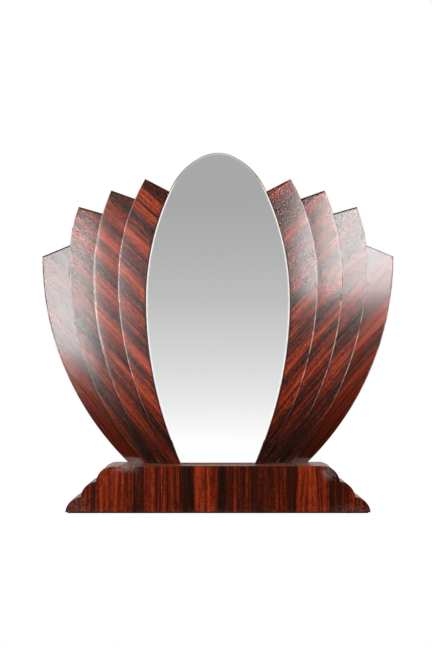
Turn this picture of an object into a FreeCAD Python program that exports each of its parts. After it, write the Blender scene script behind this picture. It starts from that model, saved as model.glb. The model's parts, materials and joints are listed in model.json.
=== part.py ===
import FreeCAD, Part
import math
import os
import re

import Sketcher
from FreeCAD import Placement, Rotation, Vector

# A dressing-table mirror: an oval glass stands between two fans of four lapped petals on a stepped plinth.
# Millimetres. +Z is up, the front faces -Y, and the origin is the middle of the footprint on the table.
# "Rise" is a height above the plinth's top. Half-widths are measured from the middle of the mirror.

SIZES = (
    ("plinth_length", 516, "over the two lower lobes"),
    ("plinth_depth", 110, "front to back, over the veneers"),
    ("tier_height", 26, "each of the three tiers, and how far its ends step in"),
    ("lobe_radius", 29, "radius of the tiers' rounded ends"),
    ("felt", 2, "thickness of the felt under the base"),
    ("felt_inset", 4, "felt's edge inside the plinth's edge"),
    ("veneer", 1.5, "thickness of every sawn veneer"),
    ("fit", 0.15, "gap all round a screw, a dowel or the oval board"),
    ("glass_half", 124, "half-width of the glass at its widest"),
    ("glass_foot", 63.2, "half-width of the glass where it meets the plinth"),
    ("glass_belly_rise", 283, "height of the widest line of the glass"),
    ("glass_crown_rise", 537.5, "height of the top of the glass"),
    ("glass_crown_radius", 60, "radius of the top of the oval"),
    ("glass_shoulder_start", 25.7, "shoulder of the oval begins, degrees round from level"),
    ("glass_shoulder_end", 64.5, "shoulder of the oval meets the crown, degrees round from level"),
    ("glass_thickness", 5, "plate glass"),
    ("glass_arris", 2, "ground and polished bevel round the front of the glass"),
    ("pad_thickness", 1, "bonding pads behind the glass"),
    ("pad_diameter", 34, "bonding pads behind the glass"),
    ("oval_board", 10.5, "thickness of the board behind the glass"),
    ("oval_margin", 0.5, "board past the edge of the glass"),
    ("edge_strip", 1, "thickness of the veneer strip bent round the oval board"),
    ("fan_setback", 45, "face of the inner petals behind the face of the plinth"),
    ("board", 13.5, "thickness of each petal's board"),
    ("lap", 24, "each petal reaches this far behind the one in front"),
    ("oval_lap", 20, "second petals reach this far behind the oval board"),
    ("arris", 0.8, "chamfer of the petals' front edges"),
    ("inner_foot_width", 12.6, "inner petal, seen width at the foot"),
    ("inner_belly_width", 48.6, "inner petal, seen width at the belly"),
    ("inner_belly_rise", 318, "inner petal, height of the widest point"),
    ("inner_tip_inset", 46.6, "inner petal, tip inside the widest point"),
    ("inner_tip_rise", 493, "inner petal, height of the tip"),
    ("inner_top_slope", 27.6, "inner petal, degrees that the top falls towards the glass"),
    ("second_foot_width", 25.9, "second petal, seen width at the foot"),
    ("second_belly_width", 44.2, "second petal, seen width at the belly"),
    ("second_belly_rise", 325, "second petal, height of the widest point"),
    ("second_tip_inset", 31, "second petal, tip inside the widest point"),
    ("second_tip_rise", 474.7, "second petal, height of the tip"),
    ("second_top_slope", 19.4, "second petal, degrees that the top falls inwards"),
    ("third_foot_width", 27.6, "third petal, seen width at the foot"),
    ("third_belly_width", 44.2, "third petal, seen width at the belly"),
    ("third_belly_rise", 351, "third petal, height of the widest point"),
    ("third_tip_inset", 17.3, "third petal, tip inside the widest point"),
    ("third_tip_rise", 447.8, "third petal, height of the tip"),
    ("third_top_slope", 15.9, "third petal, degrees that the top falls inwards"),
    ("outer_foot_width", 27.7, "outer petal, seen width at the foot"),
    ("outer_belly_width", 48.3, "outer petal, seen width at the tip, its widest point"),
    ("outer_belly_rise", 361.7, "outer petal, height of the tip"),
    ("outer_top_slope", -22.4, "outer petal, degrees that the top falls inwards: it rises"),
    ("screw_shank", 3.5, "shank diameter of the screws in the fans and the cleat"),
    ("screw_head", 7, "diameter of their countersunk heads"),
    ("screw_point", 5, "length of their points"),
    ("screw_bite", 8, "depth of the fan screws in the front board"),
    ("screw_first_rise", 55, "height of the lowest screw in a lap"),
    ("screw_below_tip", 72, "highest screw in a lap, below the rear petal's tip"),
    ("slot_width", 1, "screwdriver slots"),
    ("slot_depth", 0.9, "screwdriver slots"),
    ("plinth_screw_shank", 5, "shank diameter of the screws through the tiers"),
    ("plinth_screw_head", 10, "diameter of their countersunk heads"),
    ("plinth_screw_bite", 15, "their depth in the upper tier"),
    ("plinth_screw_x", 150, "their places along the plinth, from the middle"),
    ("plinth_screw_y", 32, "their places across the plinth, from the middle"),
    ("cleat_height", 30, "block behind the foot of the oval board"),
    ("cleat_depth", 20, "block behind the foot of the oval board"),
    ("cleat_gap", 4, "block's ends to the second petals"),
    ("cleat_ease", 4, "chamfer along the block's rear edges"),
    ("cleat_bite", 7, "depth of its screws in the oval board"),
    ("cleat_foot_bite", 20, "depth of its screws in the plinth"),
    ("dowel_diameter", 8, "dowels in the petals' feet"),
    ("dowel_length", 36, "half in the petal, half in the plinth"),
    ("dowel_inset", 16, "dowel inside the petal's outer edge at the foot"),
    ("dowel_ease", 1, "chamfer of the dowels' ends"),
)

PETALS = ("inner", "second", "third", "outer")
LAP_SCREWS = 4
TIERS = ("lower", "middle", "upper")

# Turning sides of an arc in an outline
LEFT, RIGHT = 1, -1

# The sketcher's index numbers: the origin as a point, the two axes, and an arc's or line's points
ORIGIN, ALONG_AXIS, UPRIGHT_AXIS = -1, -1, -2
START, END, CENTRE = 1, 2, 3

doc = FreeCAD.newDocument("VanityMirror")
sheet = doc.addObject("Spreadsheet::Sheet", "Sizes")
for row, (alias, number, meaning) in enumerate(SIZES, start=1):
    sheet.set(f"A{row}", alias)
    sheet.set(f"B{row}", str(number))
    sheet.setAlias(f"B{row}", alias)
    sheet.set(f"C{row}", meaning)
doc.recompute()

SIZE_NAMES = re.compile(r"\b(" + "|".join(alias for alias, number, meaning in SIZES) + r")\b")
nodes = []


# Formulas

def formula(text):
    """The text with each size's name pointing at its cell."""
    return SIZE_NAMES.sub(r"Sizes.\1", text)


def value(text):
    """What a formula comes to now."""
    return float(sheet.evalExpression(text))


def bind(thing, setting, text):
    """Tie a setting of an object to a formula."""
    thing.setExpression(setting, formula(text))


def sagging_radius(run, rise):
    """Radius of an arc that starts upright and moves sideways by run over a height of rise."""
    return f"((({run})^2 + ({rise})^2) / (2 * ({run})))"


PLINTH_TOP = "(felt + 3 * tier_height)"
FAN_FACE = "(fan_setback - plinth_depth / 2)"
CORE_BACK = "(plinth_depth / 2 - veneer)"
CORE_DEPTH = "(plinth_depth - 2 * veneer)"

# The oval is drawn with four radii: long lower sides, shorter upper sides, the shoulders and the crown.
# The sides are upright at the belly, and above it each arc runs into the next smoothly. The upper and
# shoulder radii follow from that, by way of the distances between the centres of neighbouring arcs.
OVAL_LOWER = sagging_radius("glass_half - glass_foot", "glass_belly_rise")
START_COS, START_SIN = "cos(glass_shoulder_start)", "sin(glass_shoulder_start)"
END_COS, END_SIN = "cos(glass_shoulder_end)", "sin(glass_shoulder_end)"
CROWN_ACROSS = "(glass_half - glass_crown_radius)"
CROWN_UP = "(glass_crown_rise - glass_belly_rise - glass_crown_radius)"
ARC_SHARE = f"((1 - {END_COS}) * {START_SIN} - (1 - {START_COS}) * {END_SIN})"
UPPER_TO_SHOULDER = f"(({CROWN_UP} * (1 - {END_COS}) - {CROWN_ACROSS} * {END_SIN}) / {ARC_SHARE})"
SHOULDER_TO_CROWN = f"(({CROWN_ACROSS} * {START_SIN} - {CROWN_UP} * (1 - {START_COS})) / {ARC_SHARE})"
OVAL_SHOULDER = f"(glass_crown_radius + {SHOULDER_TO_CROWN})"
OVAL_UPPER = f"({OVAL_SHOULDER} + {UPPER_TO_SHOULDER})"


def tier_half(tier):
    """Half-length of a tier at its foot. Each tier steps in by the height of the one below it."""
    return f"(plinth_length / 2 - {tier} * tier_height)"


def tier_foot(tier):
    """Height of the underside of a tier."""
    return f"(felt + {tier} * tier_height)"


def petal_back(layer):
    """Y of the back of a petal. The inner petal is layer 1, and each outer one lies behind the last."""
    return f"({FAN_FACE} + {layer} * (board + veneer))"


def sum_of(start, layer, size):
    """A half-width: a start plus the seen widths of the petals up to a layer."""
    widths = [f"{petal}_{size}" for petal in PETALS[:layer]]
    return "(" + " + ".join([start] + widths) + ")"


def foot_at(layer):
    """Half-width of a petal's outer edge at the plinth."""
    return sum_of("glass_foot", layer, "foot_width")


def belly_at(layer):
    """Half-width of a petal's outer edge at its widest."""
    return sum_of("glass_half", layer, "belly_width")


def belly_rise(layer):
    return f"{PETALS[layer - 1]}_belly_rise"


def lower_radius(layer):
    """Radius of a petal's outer edge below its belly."""
    return sagging_radius(f"{belly_at(layer)} - {foot_at(layer)}", belly_rise(layer))


def upper_radius(layer):
    """Radius of a petal's outer edge above its belly. The outer petal ends at its belly and has none."""
    petal = PETALS[layer - 1]
    return sagging_radius(f"{petal}_tip_inset", f"{petal}_tip_rise - {petal}_belly_rise")


def tip(layer):
    """Half-width and rise of a petal's tip."""
    petal = PETALS[layer - 1]
    if layer == len(PETALS):
        return belly_at(layer), belly_rise(layer)
    return f"({belly_at(layer)} - {petal}_tip_inset)", f"{petal}_tip_rise"


def on_arc(belly, radius, centre_rise, rise):
    """Half-width at a rise on an arc that is upright at its belly."""
    return f"({belly} - {radius} + sqrt({radius}^2 - ({rise} - {centre_rise})^2))"


def edge_at(layer, rise):
    """Half-width of a petal's outer edge at a rise."""
    if layer < len(PETALS) and value(rise) > value(belly_rise(layer)):
        return on_arc(belly_at(layer), upper_radius(layer), belly_rise(layer), rise)
    return on_arc(belly_at(layer), lower_radius(layer), belly_rise(layer), rise)


def glass_edge_at(rise):
    """Half-width of the glass at a rise below its shoulders."""
    if value(rise) > value("glass_belly_rise"):
        return on_arc("glass_half", OVAL_UPPER, "glass_belly_rise", rise)
    return on_arc("glass_half", OVAL_LOWER, "glass_belly_rise", rise)


# Sketches

def sketch_on(body, plane, shift):
    """A sketch on one of the body's own planes, shifted along the plane's three axes by formulas."""
    sketch = body.newObject("Sketcher::SketchObject", f"{body.Name}_sketch")
    support = next(feature for feature in body.Origin.OriginFeatures if feature.Role == plane)
    sketch.AttachmentSupport = [(support, "")]
    sketch.MapMode = "FlatFace"
    for axis, text in zip("xyz", shift):
        bind(sketch, f"AttachmentOffset.Base.{axis}", text)
    return sketch


def hold(sketch, text, kind, *places):
    """Add a constraint of a kind and tie its size to a formula."""
    start = value(text)
    if kind == "Angle":
        start = math.radians(start)
    index = sketch.addConstraint(Sketcher.Constraint(kind, *places, start))
    bind(sketch, f"Constraints[{index}]", text)


def fix_point(sketch, edge, point, across, up):
    """Hold a point at two formulas from the sketch's origin. A zero puts it on an axis."""
    for kind, text, axis in (("DistanceX", across, UPRIGHT_AXIS), ("DistanceY", up, ALONG_AXIS)):
        if text == "0":
            sketch.addConstraint(Sketcher.Constraint("PointOnObject", edge, point, axis))
        else:
            hold(sketch, text, kind, ORIGIN, START, edge, point)


def join(sketch, edge, point, next_edge, next_point):
    sketch.addConstraint(Sketcher.Constraint("Coincident", edge, point, next_edge, next_point))


def draw_line(sketch, start, end):
    return sketch.addGeometry(Part.LineSegment(start, end), False)


def draw_arc(sketch, centre, start, end, radius):
    """An arc from start to end, turning left about its centre, with its radius tied to a formula."""
    begin = math.atan2(start.y - centre.y, start.x - centre.x)
    finish = math.atan2(end.y - centre.y, end.x - centre.x)
    circle = Part.Circle(centre, Vector(0, 0, 1), value(radius))
    edge = sketch.addGeometry(Part.ArcOfCircle(circle, begin, finish), False)
    hold(sketch, radius, "Radius", edge)
    return edge


def arc_centre(start, end, radius, side):
    """Centre of an arc under a half circle from start to end that turns to a side."""
    chord = end - start
    leftwards = Vector(-chord.y, chord.x, 0).normalize()
    distance = math.sqrt(radius ** 2 - (chord.Length / 2) ** 2)
    return (start + end) / 2 + leftwards * (side * distance)


def draw_outline(sketch, corners):
    """A closed outline. Each corner is (across, up, bend): bend is None for a straight edge to the next
    corner, or (radius, side) for an arc that turns to that side."""
    points = [Vector(value(across), value(up), 0) for across, up, bend in corners]
    ends = []
    for index, (across, up, bend) in enumerate(corners):
        start = points[index]
        end = points[(index + 1) % len(points)]
        first, last = START, END
        if bend is None:
            edge = draw_line(sketch, start, end)
        else:
            radius, side = bend
            centre = arc_centre(start, end, value(radius), side)
            if side == LEFT:
                edge = draw_arc(sketch, centre, start, end, radius)
            else:
                edge = draw_arc(sketch, centre, end, start, radius)
                first, last = END, START
        fix_point(sketch, edge, first, across, up)
        ends.append((edge, first, last))
    for (edge, first, last), (next_edge, next_first, next_last) in zip(ends, ends[1:] + ends[:1]):
        join(sketch, edge, last, next_edge, next_first)


def draw_petal(sketch, layer):
    """A petal's outline from its hidden inner edge to its seen outer edge, foot on the plinth's top."""
    tip_across, tip_up = tip(layer)
    foot_point = Vector(value(foot_at(layer)), 0, 0)
    belly_point = Vector(value(belly_at(layer)), value(belly_rise(layer)), 0)
    tip_point = Vector(value(tip_across), value(tip_up), 0)

    lower_centre = belly_point - Vector(value(lower_radius(layer)), 0, 0)
    outer = draw_arc(sketch, lower_centre, foot_point, belly_point, lower_radius(layer))
    fix_point(sketch, outer, START, foot_at(layer), "0")
    fix_point(sketch, outer, END, belly_at(layer), belly_rise(layer))
    last = outer
    if layer < len(PETALS):
        upper_centre = belly_point - Vector(value(upper_radius(layer)), 0, 0)
        last = draw_arc(sketch, upper_centre, belly_point, tip_point, upper_radius(layer))
        join(sketch, outer, END, last, START)
        fix_point(sketch, last, END, tip_across, tip_up)

    if layer == 1:
        inner_foot, inner_foot_point, inner_top, centre, reach = draw_glass_side(sketch)
    else:
        inner_foot, inner_foot_point, centre, reach = draw_lap_side(sketch, layer)
        inner_top = inner_foot

    slope = math.radians(value(f"{PETALS[layer - 1]}_top_slope"))
    inwards = Vector(-math.cos(slope), -math.sin(slope), 0)
    top_point = tip_point + inwards * meeting(tip_point, inwards, centre, reach)
    top = draw_line(sketch, top_point, tip_point)
    hold(sketch, f"{PETALS[layer - 1]}_top_slope", "Angle", top)
    join(sketch, top, END, last, END)
    join(sketch, inner_top, END, top, START)

    foot = draw_line(sketch, inner_foot_point, foot_point)
    join(sketch, foot, START, inner_foot, START)
    join(sketch, foot, END, outer, START)


def meeting(start, direction, centre, radius):
    """Distance from a point outside a circle to where a line through it first meets the circle."""
    offset = start - centre
    along = offset.dot(direction)
    return -along - math.sqrt(along ** 2 - offset.dot(offset) + radius ** 2)


def draw_lap_side(sketch, layer):
    """The edge of a petal that lies behind the petal or the oval board in front: one long arc, a lap's
    width inside that neighbour's lower edge."""
    if layer == 2:
        belly = "glass_half"
        neighbour = OVAL_LOWER
        rise = "glass_belly_rise"
        radius = f"({neighbour} + oval_margin - oval_lap)"
    else:
        belly = belly_at(layer - 1)
        neighbour = lower_radius(layer - 1)
        rise = belly_rise(layer - 1)
        radius = f"({neighbour} - lap)"
    across = f"({belly} - {neighbour})"
    centre = Vector(value(across), value(rise), 0)
    reach = value(radius)
    foot_point = Vector(centre.x + math.sqrt(reach ** 2 - centre.y ** 2), 0, 0)
    edge = draw_arc(sketch, centre, foot_point, centre + Vector(reach, 0, 0), radius)
    fix_point(sketch, edge, CENTRE, across, rise)
    sketch.addConstraint(Sketcher.Constraint("PointOnObject", edge, START, ALONG_AXIS))
    return edge, foot_point, centre, reach


def draw_glass_side(sketch):
    """The inner petal's edge along the oval board: the two side arcs of the oval, grown by the board's
    margin, its edge strip and the fit."""
    growth = "oval_margin + edge_strip + fit"
    lower_reach = f"({OVAL_LOWER} + {growth})"
    upper_reach = f"({OVAL_UPPER} + {growth})"
    belly = Vector(value(f"glass_half + {growth}"), value("glass_belly_rise"), 0)
    lower_centre = belly - Vector(value(lower_reach), 0, 0)
    upper_centre = belly - Vector(value(upper_reach), 0, 0)
    foot_across = lower_centre.x + math.sqrt(value(lower_reach) ** 2 - belly.y ** 2)
    foot_point = Vector(foot_across, 0, 0)
    lower = draw_arc(sketch, lower_centre, foot_point, belly, lower_reach)
    crown_side = upper_centre + Vector(0, value(upper_reach), 0)
    upper = draw_arc(sketch, upper_centre, belly, crown_side, upper_reach)
    fix_point(sketch, lower, END, f"(glass_half + {growth})", "glass_belly_rise")
    join(sketch, lower, END, upper, START)
    for edge in (lower, upper):
        hold(sketch, "glass_belly_rise", "DistanceY", ORIGIN, START, edge, CENTRE)
    sketch.addConstraint(Sketcher.Constraint("PointOnObject", lower, START, ALONG_AXIS))
    return lower, foot_point, upper, upper_centre, value(upper_reach)


def oval_half(growth):
    """Corners of the right half of the oval, foot to crown, grown outwards all round by a formula."""
    lower = f"({OVAL_LOWER} + {growth})"
    upper = f"({OVAL_UPPER} + {growth})"
    shoulder = f"({OVAL_SHOULDER} + {growth})"
    crown = f"(glass_crown_radius + {growth})"
    foot = f"(glass_half - {OVAL_LOWER} + sqrt({lower}^2 - glass_belly_rise^2))"
    shoulder_across = f"(glass_half - {OVAL_UPPER} + {upper} * {START_COS})"
    shoulder_up = f"(glass_belly_rise + {upper} * {START_SIN})"
    crown_across = f"({crown} * {END_COS})"
    crown_up = f"(glass_crown_rise - glass_crown_radius + {crown} * {END_SIN})"
    return (
        (foot, "0", (lower, LEFT)),
        (f"(glass_half + {growth})", "glass_belly_rise", (upper, LEFT)),
        (shoulder_across, shoulder_up, (shoulder, LEFT)),
        (crown_across, crown_up, (crown, LEFT)),
    )


def mirrored_corners(half):
    """A right-hand run of corners followed by its mirror image, as one closed outline.

    A bend belongs to the edge after its corner, so going back down each corner takes the bend of the
    edge that came before it on the way up."""
    back = []
    for index in range(len(half) - 1, -1, -1):
        across, up, bend = half[index]
        before = half[index - 1][2] if index > 0 else None
        back.append((f"-{across}", up, before))
    return list(half) + back


# Solids

def new_body(label):
    body = doc.addObject("PartDesign::Body", label)
    body.Label = label
    return body


def pad(body, sketch, length):
    feature = body.newObject("PartDesign::Pad", f"{body.Name}_pad")
    feature.Profile = sketch
    bind(feature, "Length", length)
    doc.recompute()
    return feature


def slab(label, corners, back, thickness, foot="0"):
    """A board or sheet standing across the mirror: an outline seen from the front, with its back at a
    given Y and its lower line at a height, made thick towards the front."""
    body = new_body(label)
    sketch = sketch_on(body, "XZ_Plane", ("0", foot, f"-{back}"))
    draw_outline(sketch, corners)
    pad(body, sketch, thickness)
    return body


def petal_slab(label, layer, back, thickness):
    body = new_body(label)
    sketch = sketch_on(body, "XZ_Plane", ("0", PLINTH_TOP, f"-{back}"))
    draw_petal(sketch, layer)
    pad(body, sketch, thickness)
    return body


def turned(label, profile):
    """A solid of revolution about its own Z axis, from a half profile that begins and ends on the axis."""
    body = new_body(label)
    sketch = sketch_on(body, "XZ_Plane", ("0", "0", "0"))
    draw_outline(sketch, [(across, up, None) for across, up in profile])
    feature = body.newObject("PartDesign::Revolution", f"{label}_turning")
    feature.Profile = sketch
    feature.ReferenceAxis = (sketch, ["V_Axis"])
    feature.Angle = 360
    doc.recompute()
    return body


def names_of(shape, wanted):
    """Names of the edges of a shape that pass a test."""
    return [f"Edge{index}" for index, edge in enumerate(shape.Edges, start=1) if wanted(edge)]


def near(first, second):
    tolerance = 0.001
    return abs(first - second) < tolerance


def in_plane(edge, level):
    """Whether an edge lies in the upright plane at one Y."""
    return near(edge.BoundBox.YMin, level) and near(edge.BoundBox.YMax, level)


def ease(body, size, wanted):
    """Chamfer the picked edges of a body's last feature."""
    base = body.Tip
    feature = body.newObject("PartDesign::Chamfer", f"{body.Name}_ease")
    feature.Base = (base, names_of(base.Shape, wanted))
    bind(feature, "Size", size)
    doc.recompute()


def drilled(label, blank, drills):
    """A blank with groups of holes taken out of it one after another. The last result has the label."""
    result = blank
    for drill in drills:
        cut = doc.addObject("Part::Cut", f"{label}_cut")
        cut.Base = result
        cut.Tool = drill
        result = cut
    result.Label = label
    doc.recompute()
    return result


def mirrored(label, source):
    """The other-handed copy of an object, across the middle of the mirror."""
    copy = doc.addObject("Part::Mirroring", label)
    copy.Label = label
    copy.Source = source
    copy.Normal = Vector(1, 0, 0)
    doc.recompute()
    return copy


def compound(label, members):
    group = doc.addObject("Part::Compound", label)
    group.Label = label
    group.Links = members
    doc.recompute()
    return group


def set_out(label, source, places, facing):
    """Copies of one piece at a list of (across, depth, height) formulas, as one group. The piece's own
    Z axis points along facing, and each copy is spun a little further than the last."""
    spin_step = 67
    copies = []
    for index, place in enumerate(places):
        copy = doc.addObject("App::Link", f"{label}_{index}")
        copy.LinkedObject = source
        turn = Rotation(Vector(0, 0, 1), facing)
        copy.Placement = Placement(Vector(), turn.multiply(Rotation(Vector(0, 0, 1), index * spin_step)))
        for axis, text in zip("xyz", place):
            bind(copy, f"Placement.Base.{axis}", text)
        copies.append(copy)
    return compound(label, copies)


def keep(piece):
    """Count a finished object as one of the mirror's pieces."""
    nodes.append(piece)
    return piece


# Screws and dowels: each has the piece itself and the hole that it sits in

def screw(label, shank, head, length):
    """A slotted countersunk wood screw, head at the origin and point down."""
    body = turned(label, screw_profile(shank, head, length, "0"))
    sketch = sketch_on(body, "XY_Plane", ("0", "0", "0"))
    corners = ((head, "slot_width / 2"), (f"-{head}", "slot_width / 2"),
               (f"-{head}", "-slot_width / 2"), (head, "-slot_width / 2"))
    draw_outline(sketch, [(across, up, None) for across, up in corners])
    slot = body.newObject("PartDesign::Pocket", f"{label}_slot")
    slot.Profile = sketch
    bind(slot, "Length", "slot_depth")
    doc.recompute()
    return body


def screw_hole(label, shank, head, length):
    return turned(label, screw_profile(shank, head, length, "fit"))


def screw_profile(shank, head, length, growth):
    """Half profile of a screw, or of its hole where it is grown by the fit."""
    neck = f"-({head} - {shank}) / 2"
    shoulder = f"-({length} - screw_point)"
    return (
        ("0", "0"),
        (f"({head} / 2 + {growth})", "0"),
        (f"({shank} / 2 + {growth})", neck),
        (f"({shank} / 2 + {growth})", shoulder),
        ("0", f"-({length} + 2 * {growth})"),
    )


def dowel(label, growth):
    """A dowel with eased ends, middle at the origin, or its hole where it is grown by the fit."""
    half = f"(dowel_length / 2 + {growth})"
    radius = f"(dowel_diameter / 2 + {growth})"
    profile = (
        ("0", half),
        (f"({radius} - dowel_ease)", half),
        (radius, f"({half} - dowel_ease)"),
        (radius, f"-({half} - dowel_ease)"),
        (f"({radius} - dowel_ease)", f"-{half}"),
        ("0", f"-{half}"),
    )
    return turned(label, profile)


def both_sides(places):
    """Right-hand places followed by their mirror images."""
    return list(places) + [(f"-{across}", depth, height) for across, depth, height in places]


def lap_places(layer):
    """Screws down the lap where a petal lies behind its inner neighbour, evenly spaced, heads at the back."""
    places = []
    top = f"({tip(layer)[1]} - screw_below_tip)"
    for index in range(LAP_SCREWS):
        rise = f"(screw_first_rise + ({top} - screw_first_rise) * {index} / {LAP_SCREWS - 1})"
        across = f"({edge_at(layer - 1, rise)} - lap / 2)"
        places.append((across, petal_back(layer), f"{PLINTH_TOP} + {rise}"))
    return places


def oval_board_places():
    """Screws through the second petals into the oval board, midway between the screws of the first lap."""
    places = []
    top = f"({tip(2)[1]} - screw_below_tip)"
    for index in range(LAP_SCREWS - 1):
        share = (index + 0.5) / (LAP_SCREWS - 1)
        rise = f"(screw_first_rise + ({top} - screw_first_rise) * {share})"
        across = f"({glass_edge_at(rise)} + oval_margin - oval_lap / 2)"
        places.append((across, petal_back(2), f"{PLINTH_TOP} + {rise}"))
    return places


def dowel_places():
    """One dowel in the foot of each petal but the inner one, in the middle of its board's thickness."""
    places = []
    for layer in range(2, len(PETALS) + 1):
        across = f"({foot_at(layer)} - dowel_inset)"
        places.append((across, f"({petal_back(layer)} - board / 2)", PLINTH_TOP))
    return places


BACKWARDS = Vector(0, 1, 0)
DOWNWARDS = Vector(0, 0, -1)
UPWARDS = Vector(0, 0, 1)

FAN_SCREW_LENGTH = "(board + veneer + screw_bite)"
PLINTH_SCREW_LENGTH = "(2 * tier_height + plinth_screw_bite)"
CLEAT_SCREW_LENGTH = "(cleat_depth + cleat_bite)"
CLEAT_FOOT_LENGTH = "(cleat_height + cleat_foot_bite)"

fan_screw = screw("fan_screw", "screw_shank", "screw_head", FAN_SCREW_LENGTH)
fan_hole = screw_hole("fan_hole", "screw_shank", "screw_head", FAN_SCREW_LENGTH)
plinth_screw = screw("plinth_screw", "plinth_screw_shank", "plinth_screw_head", PLINTH_SCREW_LENGTH)
plinth_hole = screw_hole("plinth_hole", "plinth_screw_shank", "plinth_screw_head", PLINTH_SCREW_LENGTH)
cleat_screw = screw("cleat_screw", "screw_shank", "screw_head", CLEAT_SCREW_LENGTH)
cleat_hole = screw_hole("cleat_hole", "screw_shank", "screw_head", CLEAT_SCREW_LENGTH)
cleat_foot_screw = screw("cleat_foot_screw", "screw_shank", "screw_head", CLEAT_FOOT_LENGTH)
cleat_foot_hole = screw_hole("cleat_foot_hole", "screw_shank", "screw_head", CLEAT_FOOT_LENGTH)
dowel_pin = dowel("dowel_pin", "0")
dowel_hole = dowel("dowel_hole", "fit")

# Places of the screws and dowels
lap_screw_places = [place for layer in range(2, len(PETALS) + 1) for place in lap_places(layer)]
board_screw_places = both_sides(oval_board_places())
plinth_screw_places = [
    (f"{along} * plinth_screw_x", f"{across} * plinth_screw_y", "felt")
    for along in (1, -1) for across in (1, -1)
]
SECOND_LAP = f"({OVAL_LOWER} + oval_margin - oval_lap)"
SECOND_FOOT = f"(glass_half - {OVAL_LOWER} + sqrt({SECOND_LAP}^2 - glass_belly_rise^2))"
CLEAT_HALF = f"({SECOND_FOOT} - cleat_gap)"
CLEAT_BACK = f"({petal_back(1)} + cleat_depth)"
cleat_screw_places = both_sides([
    (f"({CLEAT_HALF} * 2 / 3)", CLEAT_BACK, f"{PLINTH_TOP} + cleat_height * 3 / 5"),
])
cleat_foot_places = both_sides([
    (f"({CLEAT_HALF} / 3)", f"{petal_back(1)} + cleat_depth / 2", f"{PLINTH_TOP} + cleat_height"),
])

lap_holes = set_out("lap_holes", fan_hole, lap_screw_places, BACKWARDS)
board_holes = set_out("board_holes", fan_hole, board_screw_places, BACKWARDS)
tier_holes = set_out("tier_holes", plinth_hole, plinth_screw_places, DOWNWARDS)
cleat_holes = set_out("cleat_holes", cleat_hole, cleat_screw_places, BACKWARDS)
cleat_foot_holes = set_out("cleat_foot_holes", cleat_foot_hole, cleat_foot_places, UPWARDS)
foot_holes = set_out("foot_holes", dowel_hole, both_sides(dowel_places()), UPWARDS)

keep(set_out("right_fan_screws", fan_screw, lap_screw_places, BACKWARDS))
keep(mirrored("left_fan_screws", nodes[-1]))
keep(set_out("backboard_screws", fan_screw, board_screw_places, BACKWARDS))
keep(set_out("plinth_screws", plinth_screw, plinth_screw_places, DOWNWARDS))
keep(set_out("cleat_screws", cleat_screw, cleat_screw_places, BACKWARDS))
keep(set_out("cleat_foot_screws", cleat_foot_screw, cleat_foot_places, UPWARDS))
keep(set_out("right_fan_dowels", dowel_pin, dowel_places(), UPWARDS))
keep(mirrored("left_fan_dowels", nodes[-1]))


# Plinth: three tiers with rounded ends, each end and face under a veneer

# A lobe's arc goes through the tier's foot and the inner end of its step, so its centre is below and
# inside the corner of the two by an equal amount. The core's arc has the same centre.
LOBE_SINK = "((sqrt(2 * lobe_radius^2 - tier_height^2) - tier_height) / 2)"
LOBE_CORE = "(lobe_radius - veneer)"
LOBE_REACH = f"(sqrt({LOBE_CORE}^2 - {LOBE_SINK}^2) - {LOBE_SINK})"


def tier_corners(tier):
    """A tier's core: rounded ends for the bent veneer, flat top under the next tier."""
    half = tier_half(tier)
    foot = tier_foot(tier)
    run = [
        (f"({half} - tier_height + {LOBE_REACH})", foot, (LOBE_CORE, LEFT)),
        (f"({half} - tier_height)", f"({foot} + {LOBE_REACH})", None),
    ]
    if tier < len(TIERS) - 1:
        run.append((f"({half} - tier_height)", f"({foot} + tier_height)", None))
    return mirrored_corners(run)


def lobe_corners(tier):
    """The bent strip of veneer over one rounded end of a tier."""
    half = tier_half(tier)
    foot = tier_foot(tier)
    return (
        (f"({half} - tier_height + {LOBE_REACH})", foot, None),
        (half, foot, ("lobe_radius", LEFT)),
        (f"({half} - tier_height)", f"({foot} + tier_height)", None),
        (f"({half} - tier_height)", f"({foot} + {LOBE_REACH})", (LOBE_CORE, RIGHT)),
    )


def top_corners():
    """The veneer over the plinth's top, bent down over the upper tier's two ends."""
    half = tier_half(2)
    foot = tier_foot(2)
    shoulder = f"({half} - tier_height)"
    outside = mirrored_corners([(half, foot, ("lobe_radius", LEFT)), (shoulder, PLINTH_TOP, None)])
    inside = [
        (f"-({shoulder} + {LOBE_REACH})", foot, (LOBE_CORE, RIGHT)),
        (f"-{shoulder}", f"({foot} + {LOBE_REACH})", None),
        (shoulder, f"({foot} + {LOBE_REACH})", (LOBE_CORE, RIGHT)),
        (f"({shoulder} + {LOBE_REACH})", foot, None),
    ]
    return outside + inside


def plinth_face_corners():
    """The whole stepped outline of the plinth from the front."""
    run = [(tier_half(tier), tier_foot(tier), ("lobe_radius", LEFT)) for tier in range(len(TIERS))]
    run.append((f"({tier_half(2)} - tier_height)", PLINTH_TOP, None))
    return mirrored_corners(run)


tier_drills = {
    "lower": [tier_holes],
    "middle": [tier_holes],
    "upper": [tier_holes, foot_holes, cleat_foot_holes],
}
for tier, name in enumerate(TIERS):
    blank = slab(f"{name}_tier_blank", tier_corners(tier), CORE_BACK, CORE_DEPTH)
    keep(drilled(f"{name}_tier", blank, tier_drills[name]))

for tier, name in enumerate(TIERS[:2]):
    strip = slab(f"{name}_lobe_strip", lobe_corners(tier), CORE_BACK, CORE_DEPTH)
    opposite = mirrored(f"{name}_lobe_strip_opposite", strip)
    keep(compound(f"{name}_lobe_veneers", [strip, opposite]))

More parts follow.
